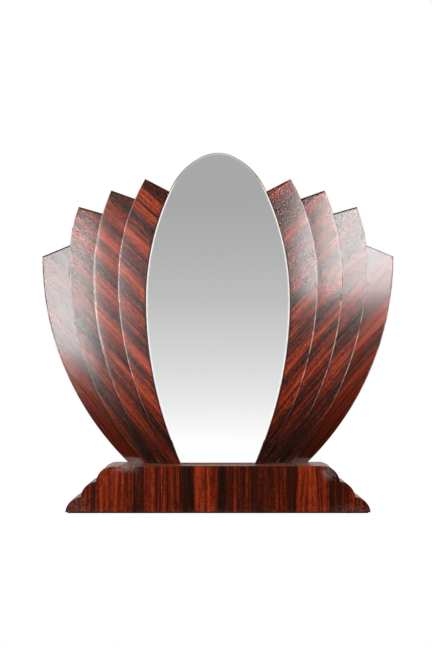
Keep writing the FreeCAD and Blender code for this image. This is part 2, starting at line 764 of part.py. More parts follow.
top_sheet = slab("plinth_top_sheet", top_corners(), CORE_BACK, CORE_DEPTH)
keep(drilled("plinth_top_veneer", top_sheet, [foot_holes, cleat_foot_holes]))
keep(slab("plinth_front_veneer", plinth_face_corners(), f"-{CORE_BACK}", "veneer"))
keep(slab("plinth_back_veneer", plinth_face_corners(), "(plinth_depth / 2)", "veneer"))

FELT_HALF = "(plinth_length / 2 - felt_inset)"
felt_corners = mirrored_corners([(FELT_HALF, "0", None), (FELT_HALF, "felt", None)])
keep(slab("base_felt", felt_corners, "(plinth_depth / 2 - felt_inset)", "plinth_depth - 2 * felt_inset"))


# Mirror: glass bonded to an oval board, whose edge has its own veneer strip

BOARD_BACK = petal_back(1)
BOARD_FACE = f"({BOARD_BACK} - oval_board)"
GLASS_BACK = f"({BOARD_FACE} - pad_thickness)"
GLASS_FACE = f"({GLASS_BACK} - glass_thickness)"

glass_corners = mirrored_corners(oval_half("0"))
glass = keep(slab("mirror_glass", glass_corners, GLASS_BACK, "glass_thickness", PLINTH_TOP))
ease(glass, "glass_arris",
     lambda edge: in_plane(edge, value(GLASS_FACE)) and not near(edge.BoundBox.ZMax, value(PLINTH_TOP)))

oval_corners = mirrored_corners(oval_half("oval_margin"))
oval_blank = slab("oval_blank", oval_corners, BOARD_BACK, "oval_board", PLINTH_TOP)
keep(drilled("mirror_backboard", oval_blank, [board_holes, cleat_holes]))


def strip_corners():
    """The strip round the oval board: up the right outside, over the crown and down, then back inside."""
    outside = mirrored_corners(oval_half("(oval_margin + edge_strip)"))
    inside = []
    for index in range(len(oval_corners) - 1, -1, -1):
        across, up, bend = oval_corners[index]
        before = oval_corners[index - 1][2]
        inside.append((across, up, (before[0], RIGHT) if index > 0 else None))
    return outside + inside


keep(slab("backboard_edge_strip", strip_corners(), BOARD_BACK, "oval_board", PLINTH_TOP))

pad_disc = turned("pad_disc", (
    ("0", "0"),
    ("pad_diameter / 2", "0"),
    ("pad_diameter / 2", "-pad_thickness"),
    ("0", "-pad_thickness"),
))
pad_places = both_sides([
    ("(glass_foot / 2)", BOARD_FACE, f"{PLINTH_TOP} + glass_belly_rise / 6"),
    ("(glass_half / 2)", BOARD_FACE, f"{PLINTH_TOP} + glass_belly_rise / 2"),
    ("(glass_half / 2)", BOARD_FACE, f"{PLINTH_TOP} + glass_belly_rise"),
    ("(glass_crown_radius / 2)", BOARD_FACE, f"{PLINTH_TOP} + glass_crown_rise - glass_crown_radius"),
])
keep(set_out("glass_bonding_pads", pad_disc, pad_places, BACKWARDS))

cleat_corners = mirrored_corners([(CLEAT_HALF, "0", None), (CLEAT_HALF, "cleat_height", None)])
cleat_blank = slab("cleat_blank", cleat_corners, CLEAT_BACK, "cleat_depth", PLINTH_TOP)
ease(cleat_blank, "cleat_ease",
     lambda edge: in_plane(edge, value(CLEAT_BACK)) and not near(edge.BoundBox.ZMax, value(PLINTH_TOP)))
keep(drilled("backboard_cleat", cleat_blank, [cleat_holes, cleat_foot_holes]))


# Fans: four boards on each side, each with a face veneer whose seen edges are eased

def touches(edge, across, height):
    """Whether one end of an edge is at a place seen from the front."""
    return any(near(vertex.X, across) and near(vertex.Z, height) for vertex in edge.Vertexes)


def seen_edge(edge, layer):
    """Whether an edge is part of the outer edge or the top of a petal's face."""
    base = value(PLINTH_TOP)
    tip_across, tip_up = tip(layer)
    at_tip = touches(edge, value(tip_across), base + value(tip_up))
    at_foot = touches(edge, value(foot_at(layer)), base)
    face = value(f"{petal_back(layer)} - board - veneer")
    return in_plane(edge, face) and (at_tip or at_foot) and not near(edge.BoundBox.ZMax, base)


for layer, petal in enumerate(PETALS, start=1):
    board_blank = petal_slab(f"{petal}_board_blank", layer, petal_back(layer), "board")
    face_sheet = petal_slab(f"{petal}_face_sheet", layer, f"({petal_back(layer)} - board)", "veneer")
    ease(face_sheet, "arris", lambda edge: seen_edge(edge, layer))
    board_drills = [lap_holes]
    sheet_drills = []
    if layer > 1:
        board_drills.append(foot_holes)
        sheet_drills.append(lap_holes)
    if layer == 2:
        board_drills.append(board_holes)
        sheet_drills.append(board_holes)
    board = keep(drilled(f"right_{petal}_petal", board_blank, board_drills))
    veneer = keep(drilled(f"right_{petal}_petal_veneer", face_sheet, sheet_drills))
    keep(mirrored(f"left_{petal}_petal", board))
    keep(mirrored(f"left_{petal}_petal_veneer", veneer))


# Check and write

doc.recompute()
for item in doc.Objects:
    if "Invalid" in item.State or "Error" in item.State:
        raise RuntimeError(f"{item.Label} did not build: {item.State}")
for piece in nodes:
    if piece.Shape.isNull() or not piece.Shape.isValid() or not piece.Shape.Solids:
        raise RuntimeError(f"{piece.Label} has no valid solid")

os.makedirs("parts", exist_ok=True)
for piece in nodes:
    piece.Shape.exportStep(os.path.join("parts", f"{piece.Label}.step"))
print(f"{len(nodes)} pieces, {sum(len(piece.Shape.Solids) for piece in nodes)} solids")
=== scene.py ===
import json
import math
from collections import namedtuple

import bpy
import numpy as np
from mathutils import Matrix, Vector

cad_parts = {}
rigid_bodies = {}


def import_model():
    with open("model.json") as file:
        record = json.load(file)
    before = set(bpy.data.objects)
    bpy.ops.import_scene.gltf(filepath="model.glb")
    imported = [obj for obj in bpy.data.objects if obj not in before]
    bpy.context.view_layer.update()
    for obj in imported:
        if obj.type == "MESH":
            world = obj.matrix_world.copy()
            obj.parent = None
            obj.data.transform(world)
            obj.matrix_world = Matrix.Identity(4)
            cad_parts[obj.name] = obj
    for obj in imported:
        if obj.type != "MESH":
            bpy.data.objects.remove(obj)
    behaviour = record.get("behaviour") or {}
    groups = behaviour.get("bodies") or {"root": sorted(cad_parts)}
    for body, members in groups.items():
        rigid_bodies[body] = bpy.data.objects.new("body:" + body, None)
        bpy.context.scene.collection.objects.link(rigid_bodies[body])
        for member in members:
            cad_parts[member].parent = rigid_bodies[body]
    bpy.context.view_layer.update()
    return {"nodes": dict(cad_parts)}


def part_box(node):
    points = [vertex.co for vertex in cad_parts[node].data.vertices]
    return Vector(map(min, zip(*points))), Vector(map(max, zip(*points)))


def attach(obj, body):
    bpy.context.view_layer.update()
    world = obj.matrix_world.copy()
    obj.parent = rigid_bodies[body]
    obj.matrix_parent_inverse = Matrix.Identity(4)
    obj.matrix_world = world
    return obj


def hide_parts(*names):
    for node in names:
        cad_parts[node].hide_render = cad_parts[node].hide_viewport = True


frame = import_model()

bl_info = {
    "name": "Petal Vanity Mirror",
    "version": (1, 0, 0),
    "blender": (4, 5, 0),
    "location": "3D View > Sidebar > Vanity Mirror",
    "description": "Veneers, glass, felt, finishes and stage for an oval mirror between two fans of petals",
    "category": "Object",
}

BODY = "root"

# Metres. +Z is up and the front faces -Y. "Half" is a distance from the middle of the mirror along X,
# and "rise" is a height above the plinth's top, where the glass and the petals stand.
PLINTH_LOW, PLINTH_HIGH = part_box("plinth_front_veneer")
PLINTH_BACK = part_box("plinth_back_veneer")[1].y
PLINTH_TOP = PLINTH_HIGH.z
VENEER = PLINTH_HIGH.y - PLINTH_LOW.y
TIERS = 3
# Each tier's ends are arcs from its foot to the inner end of its step, which is as deep as the tier is
# high. Their centre is below and inside the corner of the two by an equal amount.
STEP = (PLINTH_HIGH.z - PLINTH_LOW.z) / TIERS
LOBE_RADIUS = 0.029
LOBE_SINK = (math.sqrt(2 * LOBE_RADIUS ** 2 - STEP ** 2) - STEP) / 2

# Outer edge of each petal: half-widths at its foot, belly and tip, and the rises of the belly and tip.
# The top edge falls towards the glass by top_slope degrees.
Petal = namedtuple("Petal", "name foot belly belly_rise tip tip_rise top_slope")
PETALS = (
    Petal("inner", 0.0758, 0.1726, 0.318, 0.1260, 0.493, 27.6),
    Petal("second", 0.1017, 0.2168, 0.325, 0.1858, 0.4747, 19.4),
    Petal("third", 0.1293, 0.2610, 0.351, 0.2437, 0.4478, 15.9),
    Petal("outer", 0.1570, 0.3093, 0.3617, 0.3093, 0.3617, -22.4),
)
# How far, in degrees, each old board has twisted its seen face outwards, from the glass to the outer
# petal. It is why neighbouring petals catch the light differently.
TWISTS = {"left": (-0.40, -1.15, -1.35, 1.1), "right": (0.42, -0.4, -0.55, 0.7)}
# How far a petal reaches behind the one in front of it, and the second petal behind the oval board
LAP = 0.024
OVAL_LAP = 0.020
SIDES = (("left", -1), ("right", 1))

# The oval glass: long lower sides, shorter upper sides, shoulders and the crown. It is upright at its
# belly, and its shoulders begin and end at angles round from level, in degrees.
Oval = namedtuple("Oval", "half foot belly_rise crown_rise crown_radius shoulder_start shoulder_end")
GLASS = Oval(0.124, 0.0632, 0.283, 0.5375, 0.060, 25.7, 64.5)
# The polished edge falls back by an angle in degrees. Below a rise it narrows in step with the height,
# until a share of it is left at the foot.
BEVEL_SLOPE = 24.0
EDGE_RUN_OUT = 0.085
FOOT_SHARE = 0.1
# The silvered face: sizes of its loops as shares of the largest, and the blurred share of its edge band
FACE_SHARES = (0.12, 0.3, 0.5, 0.7, 0.88, 1.0)
BAND_BLUR = 0.2
# How far the oval board and the inner petals reach past the edge of the glass
BOARD_MARGIN = 0.0005
PETAL_MARGIN = 0.00165

# Grain of a fan: its lines lean outwards and bend as they rise, and its length runs out and up. The
# right fan is cut from another place along the sheet.
GRAIN_LEAN, GRAIN_BEND = 0.72, 0.45
GRAIN_OUT, GRAIN_UP = 0.68, 0.73
RIGHT_FAN_SHIFT = 2.0

# How far the edges of the broad stripes wander across the grain
STRIPE_WANDER = 0.020
# Tone of each veneer's broad stripes, 0 for black to 100 for bright orange, by place across the grain in
# millimetres
STRIPES = {
    "left_inner": (
        (-350, 45), (-326, 22), (-306, 85), (-285, 60), (-266, 80), (-245, 30), (-206, 95), (-173, 30),
        (-158, 55), (-146, 45), (-122, 85), (-94, 30), (-74, 70), (-40, 40), (-14, 85), (6, 40), (26, 85),
        (44, 70), (55, 20), (70, 60),
    ),
    "left_second": (
        (-272, 45), (-254, 20), (-215, 80), (-186, 45), (-155, 95), (-131, 50), (-113, 80), (-86, 40),
        (-68, 80), (-38, 45), (-5, 90), (18, 35), (40, 80), (58, 35), (80, 90), (94, 45),
    ),
    "left_third": (
        (-188, 50), (-179, 70), (-161, 40), (-137, 85), (-126, 55), (-108, 80), (-78, 35), (-60, 70),
        (-40, 38), (-5, 70), (34, 25), (58, 50), (78, 80), (94, 40), (108, 15), (126, 80),
    ),
    "left_outer": (
        (-68, 30), (-57, 42), (-40, 30), (-6, 43), (22, 45), (40, 30), (79, 52), (106, 38), (125, 70),
        (138, 60),
    ),
    "right_inner": (
        (-350, 55), (-335, 72), (-302, 30), (-284, 45), (-270, 30), (-233, 68), (-203, 35), (-182, 60),
        (-158, 38), (-137, 58), (-107, 30), (-88, 68), (-68, 50), (-56, 65), (-40, 38), (-14, 70),
        (4, 30), (22, 75), (40, 60), (55, 15), (70, 45),
    ),
    "right_second": (
        (-272, 35), (-248, 68), (-224, 42), (-206, 66), (-172, 58), (-156, 45), (-138, 62), (-110, 33),
        (-90, 72), (-72, 55), (-56, 65), (-40, 32), (-8, 75), (11, 35), (34, 65), (56, 22), (72, 42),
        (92, 25),
    ),
    "right_third": (
        (-188, 22), (-160, 28), (-137, 40), (-113, 28), (-80, 50), (-56, 55), (-40, 42), (-6, 72),
        (32, 27), (64, 65), (82, 58), (107, 15), (124, 50),
    ),
    "right_outer": (
        (-68, 35), (-58, 48), (-38, 32), (-4, 52), (22, 56), (40, 48), (58, 70), (77, 85), (92, 55),
        (107, 35), (121, 62), (138, 45),
    ),
    "plinth": (
        (-258, 45), (-222, 50), (-209, 40), (-198, 62), (-150, 58), (-138, 22), (-129, 20), (-119, 50),
        (-75, 48), (-62, 30), (-56, 0), (-46, 0), (-38, 60), (-6, 66), (2, 8), (8, 8), (16, 40), (29, 52),
        (38, 28), (48, 50), (60, 14), (73, 16), (82, 42), (115, 42), (124, 20), (130, 20), (140, 58),
        (180, 58), (192, 20), (202, 30), (214, 50), (258, 50),
    ),
}
# How plain the figure is, on each petal and on the plinth
PLAINNESS = {"inner": 1.7, "second": 1.7, "third": 1.7, "outer": 4.0, "plinth": 2.5}
# Share of stain and gloss that the plinth's top and lobes have lost
TOP_RUBBED = 0.6

# A pointed figure in the plinth's veneer. Its push on the grain fades over its reach, in widths.
FIGURE_X = 0.156
FIGURE_WIDTH = 0.010
FIGURE_REACH = 2.2
FIGURE_TIP = 0.078
FIGURE_SPREAD = 0.11

# Where the lacquer has gone dull: at the plinth's shoulders and at the chipped tip of the right inner
# petal. The spots at the plinth's ends and along its foot are a painted sheen, the floor reflected in the
# lacquer.
Haze = namedtuple("Haze", "x z width drop strength")
PLINTH_HAZE_AND_SHEEN = (
    Haze(-0.155, 0.076, 0.024, 0.009, 0.75),
    Haze(0.187, 0.068, 0.015, 0.013, 0.70),
    # Painted sheen: the floor reflected in the lacquer at the plinth's ends and along its foot
    Haze(-0.245, 0.020, 0.040, 0.030, 0.36),
    Haze(0.240, 0.008, 0.060, 0.018, 0.26),
    Haze(0.0, 0.0, 0.300, 0.012, 0.32),
)
CHIP_RADIUS = 0.008

# A veneer's points have columns for x, y and z, then for the grain map, and then for the edge data: the
# distances from worn edges, whose pale band is also a painted highlight, and from edges with painted
# shade, and the haze, which along the plinth's foot is a painted reflection of the floor.
GRAIN_MAP = "grain"
GRAIN_COLUMNS = slice(3, 5)
EDGE_DATA = ("worn_edge", "dark_edge", "haze")
EDGE_COLUMNS = slice(5, 7)
FAR_FROM_EDGE = 0.05
# Added to the distance from a seam, so the painted shade there is a little weaker than at a top edge
SEAM_SHADE_OFFSET = 0.0002

# Rise over which the painted shade at a petal's foot clears, and how much brighter the flames are than
# orange
FOOT_SHADE_RISE = 0.16
FLAME_GAIN = 1.45


# Kinds of settings
LENGTH = {"subtype": "DISTANCE", "unit": "LENGTH"}
PLACE = {"subtype": "TRANSLATION", "unit": "LENGTH"}
ANGLE = {"subtype": "ANGLE", "unit": "ROTATION"}
COLOUR = {"subtype": "COLOR", "min": 0, "max": 1}
FACTOR = {"subtype": "FACTOR", "max": 1}
POWER = {"unit": "POWER", "min": 0}


def setting(kind, name, description, default, **limits):
    """A setting of a kind. It is a vector where its default is one."""
    vector = isinstance(default, tuple)
    maker = bpy.props.FloatVectorProperty if vector else bpy.props.FloatProperty
    return maker(name=name, description=description, default=default, **kind, **limits)


class VeneerSettings(bpy.types.PropertyGroup):
    """Sizes and colours of the veneers and their lacquer."""

    arris: setting(LENGTH, "Arris", "Radius of the veneers' front edges", 0.0005, min=0.0002, max=0.0014)
    # Black is also the colour of the painted shade on edges and at the petals' feet
    black: setting(COLOUR, "Black Stripe", "Darkest stripes of the veneer", (0.0100, 0.0034, 0.0020))
    brown: setting(COLOUR, "Brown Stripe", "Dark brown between the stripes", (0.043, 0.0066, 0.0022))
    red: setting(COLOUR, "Red Ground", "Ground colour of the veneer", (0.140, 0.0132, 0.0026))
    orange: setting(COLOUR, "Orange Flame", "Brightest stripes of the veneer", (0.420, 0.0500, 0.0105))
    # Also a painted highlight: the band along the petals' rounded outer edges, where the arris catches the
    # softboxes
    bare: setting(COLOUR, "Bare Edge", "Rubbed edges where the lacquer is gone", (0.84, 0.68, 0.60))
    rubbed: setting(COLOUR, "Rubbed Wood", "Plinth's top and lobes without stain", (0.50, 0.14, 0.045))
    # Also the colour of the painted floor reflection along the plinth's foot
    haze: setting(COLOUR, "Haze", "Places where the lacquer has gone cloudy", (0.25, 0.20, 0.18))
    gloss: setting(FACTOR, "Lacquer Roughness", "Mean roughness of the lacquer", 0.122, min=0.02)


class GlassSettings(bpy.types.PropertyGroup):
    """Sizes and colours of the mirror plate."""

    bevel: setting(LENGTH, "Polished Edge", "Width of the ground edge", 0.0022, min=0.0005, max=0.004)
    band: setting(LENGTH, "Edge Band", "Width of the paler band inside it", 0.0016, min=0.001, max=0.02)
    silver: setting(COLOUR, "Silver", "Tint of the silvered plate", (0.925, 0.930, 0.930))
    edge: setting(COLOUR, "Glass Edge", "Tint of the polished edge", (0.84, 0.77, 0.74))


class StageSettings(bpy.types.PropertyGroup):
    """The camera, the lights and the room."""

    camera: setting(PLACE, "Camera", "Place of the camera", (-0.0033, -2.455, 0.245))
    camera_pitch: setting(ANGLE, "Camera Pitch", "How far the camera looks up", math.radians(1.79))
    lens: setting({}, "Lens", "Focal length on a 36 mm frame, in millimetres", 78.7, min=10, max=300)
    left_softbox: setting(PLACE, "Left Softbox", "Place of the left softbox", (-0.607, -2.455, 0.497))
    right_softbox: setting(PLACE, "Right Softbox", "Place of the right softbox", (0.612, -2.455, 0.738))
    softbox_power: setting(POWER, "Softbox Power", "Power of the left softbox", 2.6)
    softbox_spread: setting(ANGLE, "Softbox Spread", "Angle that a softbox's grid passes", math.radians(50))
    top_power: setting(POWER, "Top Light Power", "Power of the wide light overhead", 10.0)
    ambient: setting(FACTOR, "Ambient", "Brightness of the room on matt surfaces", 0.08, min=0)


class VanityMirrorSettings(bpy.types.PropertyGroup):
    """All the settings of the vanity mirror."""

    veneer: bpy.props.PointerProperty(type=VeneerSettings, name="Veneer")
    glass: bpy.props.PointerProperty(type=GlassSettings, name="Glass")
    stage: bpy.props.PointerProperty(type=StageSettings, name="Stage")


def settings():
    return bpy.context.scene.vanity_mirror


# Meshes

def grid_quads(grid):
    """Quads of an array of vertex numbers, turning from the columns to the rows."""
    return np.stack([grid[:-1, :-1], grid[:-1, 1:], grid[1:, 1:], grid[1:, :-1]], -1).reshape(-1, 4)


def band_quads(loops):
    """Quads between each closed loop of vertex numbers and the next."""
    near, far = np.stack(loops[:-1]), np.stack(loops[1:])
    return np.stack([near, far, np.roll(far, -1, 1), np.roll(near, -1, 1)], -1).reshape(-1, 4)


def rim_of(grid):
    """Vertex numbers round a grid: along the first row, up the last column, back and down again."""
    return np.concatenate([grid[0, :-1], grid[:-1, -1], grid[-1, :0:-1], grid[:0:-1, 0]])


def closed_plate(front, rings, back):
    """A closed plate: a front grid, the rims of some grids behind it, and a back grid facing away.

    All are arrays of rows by columns by data, whose first three values are the point."""
    rows, columns, width = front.shape
    grid = np.arange(rows * columns).reshape(rows, columns)
    rim = rim_of(grid)
    blocks = [front.reshape(-1, width)]
    loops = [rim]
    total = rows * columns
    for ring in rings:
        blocks.append(ring.reshape(-1, width)[rim])
        loops.append(total + np.arange(len(rim)))
        total += len(rim)
    blocks.append(back.reshape(-1, width))
    loops.append(total + rim)
    faces = np.concatenate([grid_quads(grid), band_quads(loops), grid_quads(total + grid)[:, ::-1]])
    return np.concatenate(blocks), faces.tolist()


def pole_rings(loops, first_pole, last_pole=None):
    """A disc from a pole out through loops of equal length, and closed to a second pole if it has one."""
    count, length, width = loops.shape
    points = [first_pole[None], loops.reshape(-1, width)]
    numbers = 1 + np.arange(count * length).reshape(count, length)
    fan = np.stack([np.zeros(length, int), numbers[0], np.roll(numbers[0], -1)], -1)
    faces = fan.tolist() + band_quads(numbers).tolist()
    if last_pole is not None:
        points.append(last_pole[None])
        last = np.full(length, numbers[-1, -1] + 1)
        faces += np.stack([last, np.roll(numbers[-1], -1), numbers[-1]], -1).tolist()
    return np.concatenate(points), faces


def make_mesh(name, points, faces, flip=False, sharp_degrees=35):
    """A mesh with smooth faces, sharp where they meet at more than an angle."""
    if flip:
        faces = [face[::-1] for face in faces]
    mesh = bpy.data.meshes.new(name)
    mesh.from_pydata(points[:, :3].tolist(), [], faces)
    mesh.polygons.foreach_set("use_smooth", np.ones(len(mesh.polygons), bool))
    mesh.set_sharp_from_angle(angle=math.radians(sharp_degrees))
    mesh.update()
    return mesh


def write_grain_map(mesh, places):
    """Keep each vertex's place across and along the grain, in metres, as a UV map."""
    corners = np.empty(len(mesh.loops), np.int32)
    mesh.loops.foreach_get("vertex_index", corners)
    layer = mesh.uv_layers.new(name=GRAIN_MAP)
    layer.data.foreach_set("uv", places[corners].astype(np.float32).ravel())


def write_data(mesh, name, values):
    attribute = mesh.attributes.new(name, "FLOAT", "POINT")
    attribute.data.foreach_set("value", values.astype(np.float32))


def veneer_mesh(name, points, faces, flip=False):
    """A veneer's mesh from points that carry x, y, z, the grain map and the edge data."""
    mesh = make_mesh(name, points, faces, flip)
    write_grain_map(mesh, points[:, GRAIN_COLUMNS])
    for column, data in enumerate(EDGE_DATA, start=EDGE_COLUMNS.start):
        write_data(mesh, data, points[:, column])
    return mesh


def add_object(name, data):
    thing = bpy.data.objects.new(name, data)
    bpy.context.scene.collection.objects.link(thing)
    return thing


def add_piece(mesh, slot, nodes, *materials):
    """Put a piece in the scene: it rides with the mirror and stands for some of its CAD nodes."""
    piece = add_object(mesh.name, mesh)
    for material in materials:
        mesh.materials.append(material)
    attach(piece, BODY)
    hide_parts(*nodes)
    return piece


def finish_nodes(nodes, material):
    """Give CAD nodes that stay in sight a material of their own."""
    for name in nodes:
        node = frame["nodes"][name]
        node.data.materials.clear()
        node.data.materials.append(material)


# Outlines

def sagging_radius(run, rise):
    """Radius of an arc that starts upright and moves sideways by run over a height of rise."""
    return (run ** 2 + rise ** 2) / (2 * run)


Arc = namedtuple("Arc", "across up radius start end")


def oval_arcs():
    """Arcs of the oval's right half from the foot to the crown: lower side, upper side, shoulder, crown.

    Each runs smoothly into the next, so going from centre to centre along the two upper joints' directions
    leads from the belly's level to the crown."""
    start, end = math.radians(GLASS.shoulder_start), math.radians(GLASS.shoulder_end)
    across = GLASS.half - GLASS.crown_radius
    up = GLASS.crown_rise - GLASS.belly_rise - GLASS.crown_radius
    turns = np.array([[1 - math.cos(start), 1 - math.cos(end)], [math.sin(start), math.sin(end)]])
    upper_step, shoulder_step = np.linalg.solve(turns, (across, up))
    shoulder = GLASS.crown_radius + shoulder_step
    upper = shoulder + upper_step
    lower = sagging_radius(GLASS.half - GLASS.foot, GLASS.belly_rise)
    across = GLASS.half - upper + upper_step * math.cos(start)
    up = GLASS.belly_rise + upper_step * math.sin(start)
    return (
        Arc(GLASS.half - lower, GLASS.belly_rise, lower, math.asin(-GLASS.belly_rise / lower), 0.0),
        Arc(GLASS.half - upper, GLASS.belly_rise, upper, 0.0, start),
        Arc(across, up, shoulder, start, end),
        Arc(0.0, GLASS.crown_rise - GLASS.crown_radius, GLASS.crown_radius, end, math.pi / 2),
    )


OVAL_ARCS = oval_arcs()
OVAL_LOWER, OVAL_UPPER = OVAL_ARCS[0].radius, OVAL_ARCS[1].radius


def side_arc(half, radius, belly_rise, rise, growth):
    """Half-width of an arc that is upright at its belly, grown outwards by a distance:
    half - R + sqrt((R + growth)^2 - (rise - belly rise)^2)."""
    return half - radius + np.sqrt((radius + growth) ** 2 - (rise - belly_rise) ** 2)


def edge_arc(petal, rise):
    """Radius of a petal's outer edge at a rise: one arc below the belly and another above it."""
    lower = sagging_radius(petal.belly - petal.foot, petal.belly_rise)
    if petal.tip == petal.belly:
        return np.full(np.shape(rise), lower)
    upper = sagging_radius(petal.belly - petal.tip, petal.tip_rise - petal.belly_rise)
    return np.where(rise < petal.belly_rise, lower, upper)


def outer_edge(petal, rise, inset=0.0):
    """Half-width of a petal's outer edge, moved inwards by an inset."""
    return side_arc(petal.belly, edge_arc(petal, rise), petal.belly_rise, rise, -inset)


def oval_side(rise, growth):
    """Half-width of the oval's two side arcs, grown outwards."""
    radius = np.where(rise < GLASS.belly_rise, OVAL_LOWER, OVAL_UPPER)
    return side_arc(GLASS.half, radius, GLASS.belly_rise, rise, growth)


def inner_edge(layer, rise):
    """Half-width of a petal's inner edge: along the oval board, or a lap's width behind its neighbour."""
    if layer == 0:
        return oval_side(rise, PETAL_MARGIN)
    if layer == 1:
        return side_arc(GLASS.half, OVAL_LOWER, GLASS.belly_rise, rise, BOARD_MARGIN - OVAL_LAP)
    front = PETALS[layer - 1]
    radius = sagging_radius(front.belly - front.foot, front.belly_rise)
    return side_arc(front.belly, radius, front.belly_rise, rise, -LAP)


def seen_from(layer, rise):
    """Half-width where a petal comes out from behind its neighbour."""
    if layer == 0:
        return oval_side(rise, PETAL_MARGIN)
    return outer_edge(PETALS[layer - 1], rise)


def top_edge(petal, half, inset=0.0):
    """Rise of a petal's straight top edge at a half-width."""
    slope = math.radians(petal.top_slope)
    return petal.tip_rise - (petal.tip - half) * math.tan(slope) - inset / math.cos(slope)


def meets_top(edge, petal, inset):
    """Rise where a side edge meets the top edge, by halving the span that holds it forty times."""
    low, high = petal.belly_rise / 2, petal.tip_rise + LAP * 2
    for step in range(40):
        middle = (low + high) / 2
        if top_edge(petal, float(edge(middle)), inset) > middle:
            low = middle
        else:
            high = middle
    return low


def petal_sheet(layer, inset, rows=150, columns=30):
    """Half-widths and rises of a petal's face as rows by columns.

    Row t joins the inner edge to the outer edge with a straight line, both at share t of their height,
    so that the first row is the foot and the last row is the sloping top. The outer and top edges move
    inwards by the inset."""
    petal = PETALS[layer]
    outer_top = meets_top(lambda rise: outer_edge(petal, rise, inset), petal, inset)
    inner_top = meets_top(lambda rise: inner_edge(layer, rise), petal, inset)
    share = np.linspace(0, 1, rows)[:, None]
    across = np.linspace(0, 1, columns)
    outer_rise, inner_rise = share * outer_top, share * inner_top
    inner_half = inner_edge(layer, inner_rise)
    half = inner_half + (outer_edge(petal, outer_rise, inset) - inner_half) * across
    rise = inner_rise + (outer_rise - inner_rise) * across
    return half, rise


def fan_grain(half, rise, shift):
    """Place across and along the grain of a fan. The grain lines lean outwards and flatten as they rise:
    their cotangent grows steadily with the rise, so a line is half - lean rise - bend rise^2 = a place."""
    across = half - GRAIN_LEAN * rise - GRAIN_BEND * rise ** 2
    along = GRAIN_OUT * half + GRAIN_UP * rise + shift
    return across, along


def lobe_arc(tier, inset, shares):
    """The arc over the right end of a tier as (half, height), at shares of the way from top to foot."""
    radius = LOBE_RADIUS - inset
    foot = math.asin(LOBE_SINK / radius)
    angle = math.pi / 2 - foot + (2 * foot - math.pi / 2) * shares
    half = PLINTH_HIGH.x - (tier + 1) * STEP - LOBE_SINK + radius * np.cos(angle)
    height = PLINTH_LOW.z + tier * STEP - LOBE_SINK + radius * np.sin(angle)
    return half, height


def plinth_profile(inset, flat_points=60, lobe_points=36):
    """Right half of the plinth's outline as (half, height), from the middle out to the foot of the
    lowest lobe: a flat top, then an arc for each tier, moved inwards by the inset."""
    flat = np.linspace(0, PLINTH_HIGH.x - TIERS * STEP, flat_points, endpoint=False)
    shares = (np.arange(lobe_points) + 0.5) / lobe_points
    arcs = [lobe_arc(tier, inset, shares) for tier in reversed(range(TIERS))]
    return np.hstack([(flat, np.full(flat_points, PLINTH_TOP - inset)), *arcs])


def oval_loop(inset, arc_points=30, foot_points=24):
    """The glass's outline, moved inwards by an inset, as a loop of (half, rise): along the foot, up the
    right side by its four arcs, and down the left side, which mirrors it. The foot stands on the plinth
    and hardly moves, and the inset runs out towards it."""
    foot_rise = inset * FOOT_SHARE
    lower_start = math.asin((foot_rise - GLASS.belly_rise) / (OVAL_LOWER - foot_rise))
    arcs = []
    for arc in (OVAL_ARCS[0]._replace(start=lower_start), *OVAL_ARCS[1:]):
        angle = np.linspace(arc.start, arc.end, arc_points, endpoint=False)
        share = np.clip((arc.up + arc.radius * np.sin(angle)) / EDGE_RUN_OUT, FOOT_SHARE, 1.0)
        reach = arc.radius - inset * share
        arcs.append((arc.across + reach * np.cos(angle), arc.up + reach * np.sin(angle)))
    half, rise = np.hstack(arcs)
    foot = np.linspace(-half[0], half[0], foot_points, endpoint=False)[1:]
    loop_half = np.concatenate([foot, half, [0.0], -half[::-1]])
    crown = [GLASS.crown_rise - inset]
    loop_rise = np.concatenate([np.full(len(foot), foot_rise), rise, crown, rise[::-1]])
    return loop_half, loop_rise


def rounding(radius, steps=4):
    """Insets and depths of the rings of a quarter-round edge, from the face to the side."""
    angle = np.linspace(0, math.pi / 2, steps + 1)
    return list(zip(radius * (1 - np.sin(angle)), radius * (1 - np.cos(angle))))


# Materials

